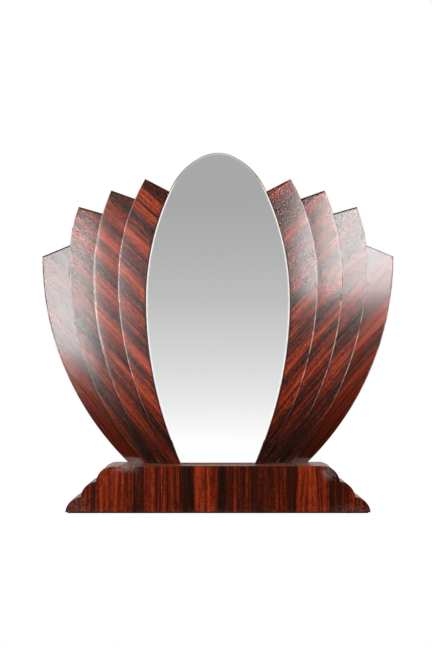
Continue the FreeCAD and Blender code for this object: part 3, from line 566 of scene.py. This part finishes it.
class Recipe:
    """The nodes of a material or a world, each made with one short call."""

    def __init__(self, owner):
        owner.use_nodes = True
        self.owner = owner
        self.tree = owner.node_tree

    def feed(self, socket, value):
        """Link a socket to an output, or set its number or colour."""
        if isinstance(value, bpy.types.NodeSocket):
            self.tree.links.new(value, socket)
        else:
            socket.default_value = value

    def add(self, kind, inputs, **choices):
        """Make a node with some choices, and feed its inputs by name or number."""
        node = self.tree.nodes.new(kind)
        for choice, value in choices.items():
            setattr(node, choice, value)
        for name, value in inputs.items():
            self.feed(node.inputs[name], value)
        return node

    def objects(self):
        return self.add("ShaderNodeTexCoord", {}).outputs["Object"]

    def grain(self):
        return self.add("ShaderNodeUVMap", {}, uv_map=GRAIN_MAP).outputs["UV"]

    def data(self, name):
        return self.add("ShaderNodeAttribute", {}, attribute_name=name).outputs["Fac"]

    def parts(self, vector):
        return self.add("ShaderNodeSeparateXYZ", {"Vector": vector}).outputs

    def noise(self, vector, cells, detail=2.0, shift=0.0, distortion=0.0):
        """Noise with a number of cells in a metre, or with one number for each axis."""
        scale = cells if isinstance(cells, tuple) else (cells, cells, cells)
        inputs = {"Vector": vector, "Scale": scale, "Location": (shift, shift, shift)}
        place = self.add("ShaderNodeMapping", inputs).outputs["Vector"]
        inputs = {"Vector": place, "Scale": 1.0, "Detail": detail, "Distortion": distortion}
        return self.add("ShaderNodeTexNoise", inputs).outputs[0]

    def streaks(self, grain, width, length, detail, shift=0.0):
        """Noise drawn out along the grain: about width by length in metres."""
        return self.noise(grain, (1 / width, 1 / length, 1), detail, shift)

    def maths(self, operation, first, *others):
        """Work through some values from left to right."""
        for other in others:
            first = self.add("ShaderNodeMath", {0: first, 1: other}, operation=operation).outputs[0]
        return first

    def fit(self, value, low, high, to_low=0.0, to_high=1.0, smooth=True):
        inputs = {"Value": value, "From Min": low, "From Max": high, "To Min": to_low, "To Max": to_high}
        kind = "SMOOTHSTEP" if smooth else "LINEAR"
        return self.add("ShaderNodeMapRange", inputs, interpolation_type=kind).outputs["Result"]

    def sway(self, noise, amount, low=0.2, high=0.8):
        """A noise as a push of up to an amount either way."""
        return self.fit(noise, low, high, -amount, amount, smooth=False)

    def ramp(self, value, stops, interpolation="LINEAR"):
        node = self.add("ShaderNodeValToRGB", {"Fac": value})
        node.color_ramp.interpolation = interpolation
        elements = node.color_ramp.elements
        for spare in range(len(stops) - len(elements)):
            elements.new(0.5)
        for element, (position, colour) in zip(elements, stops):
            element.position = position
            element.color = opaque(colour)
        return node.outputs["Color"]

    def mix(self, share, first, second):
        inputs = {0: share, 6: opaque(first), 7: opaque(second)}
        return self.add("ShaderNodeMix", inputs, data_type="RGBA").outputs[2]

    def bump(self, height, distance):
        inputs = {"Height": height, "Distance": distance, "Strength": 1.0}
        return self.add("ShaderNodeBump", inputs).outputs["Normal"]

    def finish(self, **inputs):
        """Feed the shader's sockets, named with underscores for spaces, and give the material."""
        surface = self.tree.nodes["Principled BSDF"]
        for name, value in inputs.items():
            self.feed(surface.inputs[name.replace("_", " ")], value)
        return self.owner


def new_recipe(name):
    return Recipe(bpy.data.materials.new(name))


def opaque(colour):
    """A colour with full alpha. A number gives a grey, and a socket stays as it is."""
    if isinstance(colour, bpy.types.NodeSocket):
        return colour
    if isinstance(colour, (int, float)):
        colour = (colour, colour, colour)
    return (*colour[:3], 1.0)


def broad_stripes(recipe, grain, stripes):
    """Tone of the broad stripes in a list, which wander a little along the grain."""
    wander = recipe.maths("MULTIPLY", recipe.streaks(grain, 0.05, 0.22, 1.0), STRIPE_WANDER)
    place = recipe.maths("ADD", wander, recipe.parts(grain)[0])
    first, last = stripes[0][0], stripes[-1][0]
    stops = [((at - first) / (last - first), tone / 100) for at, tone in stripes]
    low, high = [at / 1000 + STRIPE_WANDER / 2 for at in (first, last)]
    return recipe.ramp(recipe.fit(place, low, high, smooth=False), stops, "EASE")


def lacquered_veneer(name, stripes, plainness, shaded_foot=False, rubbed=0.0):
    """Striped veneer under old lacquer: broad stripes, broken by streaks, hairlines, veins and pores along
    the grain and by specks. Seen edges are rubbed pale in places, and that pale band is also a painted
    highlight on the arris. Top edges, seams and the plinth's foot get painted shade, and haze lies where
    the mesh says; along the plinth's foot it is a painted reflection of the floor. With a shaded foot, a
    petal's colour is painted darker towards its foot. The lacquer ripples and is stippled with duller
    flecks. Plainer veneer has longer and softer streaks, and rubbed veneer has lost a share of its colour
    and gloss, in patches."""
    look = settings().veneer
    recipe = new_recipe(name)
    grain = recipe.grain()
    places = recipe.objects()
    height = recipe.parts(places)[2]

    streak = recipe.streaks(grain, 0.0052, 0.15, 3.0, 3.1)
    hairline = recipe.streaks(grain, 0.0026, 0.050 * plainness, 1.0, 7.7)
    vein = recipe.fit(recipe.streaks(grain, 0.0032, 0.15 * plainness, 2.0, 11.3), 0.56, 0.62)
    pore = recipe.fit(recipe.streaks(grain, 0.0030, 0.0070 * plainness, 1.0, 5.3), 0.46, 0.60)
    speck = recipe.noise(places, 260, 3.0)
    tone = recipe.maths(
        "ADD", broad_stripes(recipe, grain, stripes),
        recipe.sway(streak, 0.42 / math.sqrt(plainness)),
        recipe.sway(hairline, 1.0 / plainness ** 1.7),
        recipe.maths("MULTIPLY", vein, -0.28),
        recipe.maths("MULTIPLY", pore, -0.30 / plainness),
        recipe.sway(speck, 0.40 / plainness),
    )
    flame = [min(1.0, FLAME_GAIN * value) for value in look.orange]
    stops = ((0.0, look.black), (0.28, look.brown), (0.44, look.red), (0.75, look.orange), (1.0, flame))
    wood = recipe.ramp(recipe.fit(tone, -0.2, 1.4, smooth=False), stops)

    edge_wobble = recipe.sway(recipe.noise(places, 420), 0.0010)
    patch = recipe.noise(places, 55)
    # Pale worn edges, which also paint the arris highlight and fade towards the foot and the top as the
    # light does
    worn_and_lit = recipe.maths(
        "MULTIPLY", recipe.fit(recipe.maths("ADD", recipe.data("worn_edge"), edge_wobble), 0.0015, 0.0008),
        recipe.fit(height, 0.13, 0.30, 0.03, 0.65),
        recipe.fit(height, 0.56, 0.47, 0.30, 1.0),
        recipe.fit(patch, 0.36, 0.52, 0.25, 1.0),
    )
    # Painted shade along the petals' top edges and seams and along the plinth's foot
    dark = recipe.fit(recipe.maths("ADD", recipe.data("dark_edge"), edge_wobble), 0.0021, 0.0009, 0.0, 0.85)
    # Haze, and along the plinth's foot a painted reflection of the floor
    haze = recipe.fit(recipe.maths("MULTIPLY", speck, recipe.data("haze")), 0.06, 0.6, 0.0, 0.6)
    colour = recipe.mix(recipe.fit(patch, 0.3, 0.7, rubbed * 0.8, rubbed), wood, look.rubbed)
    for share, tint in ((worn_and_lit, look.bare), (dark, look.black), (haze, look.haze)):
        colour = recipe.mix(share, colour, tint)

    rough = recipe.fit(streak, 0.25, 0.75, look.gloss - 0.025, look.gloss + 0.015, smooth=False)
    # Painted shade: the colour darkens towards a petal's foot, where less light reaches
    if shaded_foot:
        foot_light = recipe.fit(height, PLINTH_TOP, PLINTH_TOP + FOOT_SHADE_RISE)
        colour = recipe.mix(recipe.fit(foot_light, 0, 1, 0.65, 0.0, smooth=False), colour, look.black)
        rough = recipe.maths("MULTIPLY", rough, recipe.fit(foot_light, 0, 1, 0.70, 1.0, smooth=False))
    fleck = recipe.streaks(grain, 0.0019, 0.0030, 0.0, 17.0)
    rough = recipe.maths(
        "ADD", rough, recipe.sway(fleck, 0.150 / plainness, 0.35, 0.65),
        recipe.maths("MULTIPLY", pore, 0.04),
        recipe.maths("MULTIPLY", worn_and_lit, 0.35),
        recipe.maths("MULTIPLY", haze, 0.30),
        0.25 * rubbed,
    )
    relief = recipe.maths("ADD", recipe.noise(places, 300), recipe.maths("MULTIPLY", pore, -0.12))
    return recipe.finish(
        Base_Color=colour, Roughness=rough, Normal=recipe.bump(relief, 0.000034),
        Specular_IOR_Level=0.20 * (1 - rubbed),
    )


def stained_board(name, light, deep, ring_width):
    """A plain board stained to match: long streaks up the board, pores and brush marks."""
    recipe = new_recipe(name)
    places = recipe.objects()
    streak = recipe.noise(places, (1 / ring_width, 90, 3), 4.0)
    pore = recipe.noise(places, (900, 900, 40))
    brush = recipe.noise(places, 14)
    tone = recipe.maths("ADD", recipe.fit(streak, 0.25, 0.75), recipe.fit(brush, 0.3, 0.7, -0.2, 0.2))
    colour = recipe.ramp(tone, ((0.0, deep), (1.0, light)))
    pit = recipe.fit(pore, 0.60, 0.70, 0.0, 0.6)
    colour = recipe.mix(pit, colour, deep)
    rough = recipe.fit(streak, 0.2, 0.8, 0.42, 0.58, smooth=False)
    height = recipe.maths("SUBTRACT", streak, pit)
    return recipe.finish(
        Base_Color=colour, Roughness=rough, Normal=recipe.bump(height, 0.00008), Specular_IOR_Level=0.3,
    )


def silvered_plate():
    """Silvered plate glass: a perfect mirror, a shade paler just inside its polished edge, with the
    faintest cloud in the silver."""
    look = settings().glass
    recipe = new_recipe("silvered_plate")
    inset = recipe.data("inset")
    cloud = recipe.noise(recipe.objects(), 9, 3.0)
    tint = recipe.mix(recipe.fit(cloud, 0.3, 0.7, 0.0, 0.25), look.silver, (0.900, 0.908, 0.905))
    band = recipe.fit(inset, look.bevel + look.band, look.bevel + look.band * (1 - BAND_BLUR))
    colour = recipe.mix(band, tint, (0.985, 1.0, 0.99))
    return recipe.finish(Base_Color=colour, Metallic=1.0, Roughness=0.0)


def polished_edge():
    """The ground and polished edge of the glass: silvered behind, so it mirrors the room beside it, and
    a little uneven."""
    look = settings().glass
    recipe = new_recipe("polished_edge")
    grind = recipe.noise(recipe.objects(), (350, 350, 120), 3.0)
    colour = recipe.mix(recipe.fit(grind, 0.35, 0.7), look.edge, look.silver)
    return recipe.finish(Base_Color=colour, Metallic=1.0, Roughness=0.0)


def baize():
    """Dull green felt: matted fibres, rubbed lighter in patches."""
    recipe = new_recipe("base_felt")
    places = recipe.objects()
    fibre = recipe.noise(places, 1500, 3.0, distortion=1.5)
    patch = recipe.noise(places, 30)
    colour = recipe.ramp(fibre, ((0.3, (0.008, 0.018, 0.011)), (0.7, (0.028, 0.055, 0.036))))
    colour = recipe.mix(recipe.fit(patch, 0.45, 0.7, 0.0, 0.4), colour, (0.05, 0.07, 0.05))
    return recipe.finish(
        Base_Color=colour, Roughness=0.95, Normal=recipe.bump(fibre, 0.0004), Sheen_Weight=0.3,
    )


def aged_brass():
    """Brass screws, dulled brown in patches, with fine turning marks."""
    recipe = new_recipe("aged_brass")
    places = recipe.objects()
    patch = recipe.noise(places, 420, 3.0)
    mark = recipe.noise(places, (3000, 300, 3000))
    colour = recipe.ramp(patch, ((0.35, (0.56, 0.38, 0.15)), (0.65, (0.20, 0.12, 0.05))))
    rough = recipe.fit(patch, 0.3, 0.7, 0.28, 0.55, smooth=False)
    return recipe.finish(
        Base_Color=colour, Metallic=1.0, Roughness=rough, Normal=recipe.bump(mark, 0.00002),
    )


def plain_grain(name, light, deep, cells, detail=4.0, rough=0.6, relief=0.00006):
    """A plain material with one grain, in two tones and a slight relief."""
    recipe = new_recipe(name)
    grain = recipe.noise(recipe.objects(), cells, detail)
    colour = recipe.ramp(grain, ((0.3, deep), (0.7, light)))
    return recipe.finish(Base_Color=colour, Roughness=rough, Normal=recipe.bump(grain, relief))


# Pieces

def petal_points(layer, side, direction, inset, depth):
    """A petal's face at an inset and a depth, with its grain map and edge data, as rows by columns.

    The seen part turns about the line where it comes out from behind its neighbour. Distances from the
    outer edge are R less the distance from the arc's centre, and those from the top are square to it."""
    petal = PETALS[layer]
    half, rise = petal_sheet(layer, inset)
    out = half - seen_from(layer, rise)
    twist = math.tan(math.radians(TWISTS[side][layer])) * np.maximum(0, out)
    radius = edge_arc(petal, rise)
    worn_and_lit = radius - np.hypot(half - petal.belly + radius, rise - petal.belly_rise)
    # Distances from the top edge and from the seam, where painted shade lies
    dark = (top_edge(petal, half) - rise) * math.cos(math.radians(petal.top_slope))
    dark = np.minimum(dark, np.abs(out) + SEAM_SHADE_OFFSET)
    across, along = fan_grain(half, rise, RIGHT_FAN_SHIFT if direction > 0 else 0.0)
    tip_distance = np.hypot(half - petal.tip, rise - petal.tip_rise)
    chipped = direction > 0 and petal.name == "inner"
    haze = np.exp(-((tip_distance / CHIP_RADIUS) ** 2)) if chipped else np.zeros_like(half)
    columns = (direction * half, depth + twist, PLINTH_TOP + rise, across, along, worn_and_lit, dark, haze)
    return np.stack(columns, -1)


def rounded_sheet(name, sheet_at, back, flip):
    """A veneer with a rounded arris, from a function of its inset and depth, and closed at its back."""
    rings = [sheet_at(inset, depth) for inset, depth in rounding(settings().veneer.arris)]
    back[..., EDGE_COLUMNS] = FAR_FROM_EDGE
    points, faces = closed_plate(rings[0], rings[1:], back)
    return veneer_mesh(name, points, faces, flip)


def petal_face(layer, side, direction):
    """A petal's face veneer, which is flat at the back, and the name of the node that it stands for."""
    stem = f"{side}_{PETALS[layer].name}_petal"
    low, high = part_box(f"{stem}_veneer")

    def sheet_at(inset, depth):
        return petal_points(layer, side, direction, inset, low.y + depth)

    back = sheet_at(0.0, 0.0)
    back[..., 1] = high.y
    return rounded_sheet(f"{stem}_face", sheet_at, back, direction < 0), f"{stem}_veneer"


def plinth_haze_and_sheen(x, z):
    """Strength of the haze and painted sheen on the plinth: a bell-shaped spot, wide by drop, about each of
    its places.
    """
    haze = np.zeros(x.shape)
    for spot in PLINTH_HAZE_AND_SHEEN:
        across, down = (x - spot.x) / spot.width, (z - spot.z) / spot.drop
        haze += spot.strength * np.exp(-(across ** 2) - down ** 2)
    return haze


def plinth_points(inset, depth, rows=40):
    """The plinth's front at an inset and a depth: each column runs from the foot up to the profile.

    Grain runs upright. Between two stripes near the right end it splits around a pointed figure, where
    the place across the grain is pushed apart in proportion to the depth below the figure's tip."""
    half, height = plinth_profile(inset)
    x = np.concatenate([-half[:0:-1], half])
    top = np.concatenate([height[:0:-1], height])
    share = np.linspace(0, 1, rows)[:, None]
    z = PLINTH_LOW.z + (top - PLINTH_LOW.z) * share
    x = np.broadcast_to(x, z.shape)
    figure = (x - FIGURE_X) / FIGURE_WIDTH
    fall = np.clip(FIGURE_TIP - z, 0, None)
    across = x - np.tanh(figure) * np.exp(-(figure / FIGURE_REACH) ** 2) * fall * FIGURE_SPREAD
    # Distance from the foot, where a line of shadow is painted
    dark = z - PLINTH_LOW.z + inset
    worn_and_lit = np.full(z.shape, FAR_FROM_EDGE)
    y = np.full(z.shape, depth)
    return np.stack([x, y, z, across, z, worn_and_lit, dark, plinth_haze_and_sheen(x, z)], -1)


def plinth_face(front, facing, name):
    """A plinth veneer, an upright sheet. Facing is 1 for the front and -1 for the back."""
    def sheet_at(inset, depth):
        return plinth_points(inset, front + facing * depth)

    return rounded_sheet(name, sheet_at, sheet_at(0.0, VENEER), facing < 0)


def bent_veneer(name, lines):
    """Veneer strips bent over the plinth, from pairs of an outer and an inner line, as one mesh."""
    depths = (PLINTH_LOW.y + VENEER, PLINTH_BACK - VENEER)
    points, faces = [], []
    for pair in lines:
        sheets = []
        for line in pair:
            x, y = np.meshgrid(line[:, 0], depths)
            z = np.broadcast_to(line[:, 1], x.shape)
            edge = np.full(x.shape, FAR_FROM_EDGE)
            sheets.append(np.stack([x, y, z, x, y, edge, edge, plinth_haze_and_sheen(x, z)], -1))
        strip, quads = closed_plate(sheets[0], [], sheets[1])
        start = sum(len(block) for block in points)
        points.append(strip)
        faces += (np.array(quads) + start).tolist()
    return veneer_mesh(name, np.concatenate(points), faces)


def lobe_lines(tier, points=28):
    """The arcs over a tier's left and right end, each as an outer and an inner line of (x, z) that runs to
    the right."""
    shares = np.linspace(0, 1, points)
    right = [np.column_stack(lobe_arc(tier, inset, shares)) for inset in (0.0, VENEER)]
    left = [line[::-1] * (-1, 1) for line in right]
    return left, right


class VANITY_OT_petal_faces(bpy.types.Operator):
    """Lay a veneer on the face of each of the eight petals"""

    bl_idname = "vanity_mirror.petal_faces"
    bl_label = "Petal Faces"

    def execute(self, context):
        for side, direction in SIDES:
            for layer, petal in enumerate(PETALS):
                mesh, node = petal_face(layer, side, direction)
                stripes = STRIPES[f"{side}_{petal.name}"]
                wood = lacquered_veneer(node, stripes, PLAINNESS[petal.name], shaded_foot=True)
                add_piece(mesh, "figured_veneer", [node], wood)
        return {"FINISHED"}


class VANITY_OT_plinth_veneers(bpy.types.Operator):
    """Lay the veneers on the plinth's front, back, top and lobes"""

    bl_idname = "vanity_mirror.plinth_veneers"
    bl_label = "Plinth Veneers"

    def execute(self, context):
        stripes, plainness = STRIPES["plinth"], PLAINNESS["plinth"]
        wood = lacquered_veneer("plinth_veneer", stripes, plainness)
        rubbed = lacquered_veneer("rubbed_veneer", stripes, plainness, rubbed=TOP_RUBBED)
        for stem, front, facing in (("plinth_front", PLINTH_LOW.y, 1), ("plinth_back", PLINTH_BACK, -1)):
            mesh = plinth_face(front, facing, f"{stem}_face")
            add_piece(mesh, "figured_veneer", [f"{stem}_veneer"], wood)
        over = [np.concatenate(lines) for lines in zip(*lobe_lines(TIERS - 1))]
        skins = (
            ("plinth_top_skin", "plinth_top_veneer", [over]),
            ("lower_lobe_skins", "lower_lobe_veneers", lobe_lines(0)),
            ("middle_lobe_skins", "middle_lobe_veneers", lobe_lines(1)),
        )
        for name, node, lines in skins:
            add_piece(bent_veneer(name, lines), "figured_veneer", [node], rubbed)
        return {"FINISHED"}


class VANITY_OT_glass(bpy.types.Operator):
    """Make the oval mirror plate with its polished edge"""

    bl_idname = "vanity_mirror.glass"
    bl_label = "Mirror Plate"

    def execute(self, context):
        look = settings().glass
        low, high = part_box("mirror_glass")
        face_inset = look.bevel + look.band
        band_inset = face_inset - look.band * BAND_BLUR
        bevel_depth = look.bevel * math.tan(math.radians(BEVEL_SLOPE))
        middle = GLASS.crown_rise / 2
        half, rise = oval_loop(face_inset)
        face = [(half * share, middle + (rise - middle) * share) for share in FACE_SHARES]
        front = [(band_inset, low.y), (look.bevel, low.y)]
        side = [(0.0, low.y + bevel_depth), (0.0, high.y)]
        silvered = len(face) + len(front)
        loops = [(*loop, low.y, face_inset) for loop in face]
        loops += [(*oval_loop(inset), y, inset) for inset, y in front + side]
        loops += [(*loop, high.y, 0.0) for loop in reversed(face)]
        data = np.stack([
            np.stack([half, np.full_like(half, y), PLINTH_TOP + rise, np.full_like(half, inset)], -1)
            for half, rise, y, inset in loops
        ])
        poles = [np.array([0.0, y, PLINTH_TOP + middle, face_inset]) for y in (low.y, high.y)]
        points, faces = pole_rings(data, *poles)
        mesh = make_mesh("mirror_plate", points, faces, sharp_degrees=15)
        write_data(mesh, "inset", points[:, 3])
        edge_faces = np.zeros(len(faces), np.int32)
        edge_faces[data.shape[1] * silvered:] = 1
        mesh.polygons.foreach_set("material_index", edge_faces)
        add_piece(mesh, "mirror_plate", ["mirror_glass"], silvered_plate(), polished_edge())
        return {"FINISHED"}


class VANITY_OT_base_felt(bpy.types.Operator):
    """Glue the felt under the plinth"""

    bl_idname = "vanity_mirror.base_felt"
    bl_label = "Base Felt"

    def execute(self, context):
        low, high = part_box("base_felt")
        x, y = np.meshgrid(np.linspace(low.x, high.x, 120), np.linspace(low.y, high.y, 30))
        top, under = [np.stack([x, y, np.full(x.shape, z)], -1) for z in (high.z, low.z)]
        points, faces = closed_plate(top, [], under)
        mesh = make_mesh("base_felt_sheet", points, faces)
        felt = add_piece(mesh, "base_felt", ["base_felt"], baize())
        return {"FINISHED"}


class VANITY_OT_boards(bpy.types.Operator):
    """Stain the petal boards, the tiers, the cleat and the oval board"""

    bl_idname = "vanity_mirror.boards"
    bl_label = "Boards"

    def execute(self, context):
        petals = [f"{side}_{petal.name}_petal" for side, direction in SIDES for petal in PETALS]
        tiers = ["lower_tier", "middle_tier", "upper_tier", "backboard_cleat"]
        stain = stained_board("stained_board", (0.090, 0.026, 0.012), (0.030, 0.010, 0.006), 0.012)
        finish_nodes(petals + tiers, stain)
        strip = stained_board("edge_strip", (0.20, 0.075, 0.045), (0.09, 0.032, 0.020), 0.006)
        finish_nodes(["backboard_edge_strip"], strip)
        ply = plain_grain("backboard_ply", (0.30, 0.19, 0.10), (0.19, 0.11, 0.055), (110, 20, 6))
        finish_nodes(["mirror_backboard"], ply)
        return {"FINISHED"}


class VANITY_OT_fixings(bpy.types.Operator):
    """Finish the screws, the dowels and the bonding pads"""

    bl_idname = "vanity_mirror.fixings"
    bl_label = "Fixings"

    def execute(self, context):
        screws = [name for name in sorted(frame["nodes"]) if name.endswith("_screws")]
        finish_nodes(screws, aged_brass())
        dowels = [f"{side}_fan_dowels" for side, direction in SIDES]
        beech = plain_grain("dowel_beech", (0.55, 0.38, 0.22), (0.42, 0.26, 0.14), (700, 700, 20))
        finish_nodes(dowels, beech)
        rubber = plain_grain("soft_rubber", 0.07, 0.03, 1800, detail=2.0, rough=0.8, relief=0.0001)
        finish_nodes(["glass_bonding_pads"], rubber)
        return {"FINISHED"}


# The softboxes, with widths and heights. They face a spot on the right fan and its mirror image.
Softbox = namedtuple("Softbox", "name direction gain size")
SOFTBOXES = (
    Softbox("left_softbox", -1, 1.0, (0.58, 0.50)),
    Softbox("right_softbox", 1, 1.2, (0.58, 0.48)),
)
SOFTBOX_TARGET = (0.27, 0.02, 0.45)
OVERHEAD_PLACE = (0, -0.5, 2.2)
OVERHEAD_TARGET = (0, 0, 0.2)
OVERHEAD_SIZE = (1.8, 1.4)


class VANITY_OT_stage(bpy.types.Operator):
    """Set the floor, the room, the lights and the camera"""

    bl_idname = "vanity_mirror.stage"
    bl_label = "Stage"

    def execute(self, context):
        stage = settings().stage
        place_camera(stage)
        for box in SOFTBOXES:
            target = (box.direction * SOFTBOX_TARGET[0], *SOFTBOX_TARGET[1:])
            power = stage.softbox_power * box.gain
            softbox = add_light(box.name, getattr(stage, box.name), target, power, box.size)
            softbox.data.spread = stage.softbox_spread
        overhead = add_light("overhead", OVERHEAD_PLACE, OVERHEAD_TARGET, stage.top_power, OVERHEAD_SIZE)
        overhead.visible_glossy = False
        make_room(stage)
        make_floor()
        context.scene.view_settings.view_transform = "Standard"
        return {"FINISHED"}


def place_camera(stage):
    camera = add_object("camera", bpy.data.cameras.new("camera"))
    camera.data.lens = stage.lens
    camera.data.sensor_width = 36
    camera.location = stage.camera
    camera.rotation_euler = (math.pi / 2 + stage.camera_pitch, 0, 0)
    bpy.context.scene.camera = camera


def add_light(name, place, target, power, size):
    """A rectangular light that faces a target and isn't seen by the camera itself."""
    light = add_object(name, bpy.data.lights.new(name, "AREA"))
    light.data.shape = "RECTANGLE"
    light.data.energy = power
    light.data.size, light.data.size_y = size
    light.location = place
    light.rotation_euler = (Vector(target) - Vector(place)).to_track_quat("-Z", "Y").to_euler()
    light.visible_camera = False
    return light


# Brightness of the room that the mirror shows, by the height of a ray's direction
ROOM = ((-0.065, 1.0), (-0.05, 0.98), (-0.023, 0.81), (0.0, 0.70), (0.048, 0.52), (0.083, 0.44),
        (0.118, 0.392), (0.5, 0.40), (1.0, 0.75))


def make_room(stage):
    """A white room: white to the camera, a soft grey that pales downwards in the mirror, a dimmer one in
    lacquer, and an even ambient light on matt surfaces."""
    world = bpy.data.worlds.new("room")
    bpy.context.scene.world = world
    recipe = Recipe(world)
    path = recipe.add("ShaderNodeLightPath", {}).outputs
    direction = recipe.add("ShaderNodeTexCoord", {}).outputs["Generated"]
    across, along, height = recipe.parts(direction)
    low, high = ROOM[0][0], ROOM[-1][0]
    silver = settings().glass.silver[0]
    stops = [((at - low) / (high - low), brightness / silver) for at, brightness in ROOM]
    seen = recipe.ramp(recipe.fit(height, low, high, smooth=False), stops)
    # The walls far to the left and right are bright
    sides = recipe.fit(recipe.maths("MULTIPLY", across, across), 0.35, 0.50)
    seen = recipe.mix(sides, seen, 1.1)
    # Lacquer shows a dark room in front of the mirror and a pale one behind it
    behind = recipe.fit(along, -0.3, 0.4, 0.01, 0.8)
    light = recipe.mix(path["Is Glossy Ray"], stage.ambient, behind)
    light = recipe.mix(path["Is Singular Ray"], light, seen)
    clear = recipe.maths("MAXIMUM", path["Is Camera Ray"], path["Is Transmission Ray"])
    light = recipe.mix(clear, light, 1.0)
    recipe.feed(recipe.tree.nodes["Background"].inputs["Color"], light)


def make_floor(radius=1.15, rings=24, spokes=96):
    """A round white floor, brighter towards its rim so that it runs into the white room, while the
    middle keeps the mirror's shadow. Ring k has radius (k / rings) times the floor's."""
    angle = np.linspace(0, 2 * math.pi, spokes, endpoint=False)
    reach = radius * np.arange(1, rings + 1)[:, None] / rings
    loops = np.stack([reach * np.cos(angle), reach * np.sin(angle), np.zeros((rings, spokes))], -1)
    mesh = make_mesh("floor", *pole_rings(loops, np.zeros(3)))
    recipe = new_recipe("white_floor")
    places = recipe.objects()
    distance = recipe.add("ShaderNodeVectorMath", {0: places}, operation="LENGTH").outputs["Value"]
    glow = recipe.fit(distance, 0.30, 0.70, 0.76, 1.0)
    path = recipe.add("ShaderNodeLightPath", {}).outputs
    rays = ("Is Camera Ray", "Is Glossy Ray", "Is Transmission Ray")
    seen = recipe.maths("MAXIMUM", *[path[ray] for ray in rays])
    mottle = recipe.noise(places, 40)
    colour = recipe.ramp(mottle, ((0.3, 0.90), (0.7, 0.92)))
    white = recipe.finish(
        Base_Color=colour, Roughness=0.9, Specular_IOR_Level=0.1,
        Emission_Color=(1.0, 1.0, 1.0, 1.0), Emission_Strength=recipe.maths("MULTIPLY", glow, seen),
    )
    mesh.materials.append(white)
    floor = add_object("floor", mesh)
    floor.visible_glossy = False


class VANITY_PT_panel(bpy.types.Panel):
    """Lists the settings and the steps"""

    bl_label = "Vanity Mirror"
    bl_space_type = "VIEW_3D"
    bl_region_type = "UI"
    bl_category = "Vanity Mirror"

    def draw(self, context):
        for group in ("veneer", "glass", "stage"):
            box = self.layout.box()
            box.label(text=group.title())
            part = getattr(settings(), group)
            for name in part.__annotations__:
                box.prop(part, name)
        for step in STEPS:
            self.layout.operator(step.bl_idname)


STEPS = (
    VANITY_OT_petal_faces,
    VANITY_OT_plinth_veneers,
    VANITY_OT_glass,
    VANITY_OT_base_felt,
    VANITY_OT_boards,
    VANITY_OT_fixings,
    VANITY_OT_stage,
)
GROUPS = (VeneerSettings, GlassSettings, StageSettings, VanityMirrorSettings)


def register():
    for item in (*GROUPS, *STEPS, VANITY_PT_panel):
        bpy.utils.register_class(item)
    bpy.types.Scene.vanity_mirror = bpy.props.PointerProperty(type=VanityMirrorSettings)


def unregister():
    del bpy.types.Scene.vanity_mirror
    for item in reversed((*GROUPS, *STEPS, VANITY_PT_panel)):
        bpy.utils.unregister_class(item)


def main():
    register()
    bpy.ops.vanity_mirror.petal_faces()
    bpy.ops.vanity_mirror.plinth_veneers()
    bpy.ops.vanity_mirror.glass()
    bpy.ops.vanity_mirror.base_felt()
    bpy.ops.vanity_mirror.boards()
    bpy.ops.vanity_mirror.fixings()
    bpy.ops.vanity_mirror.stage()


if __name__ == "__main__":
    main()
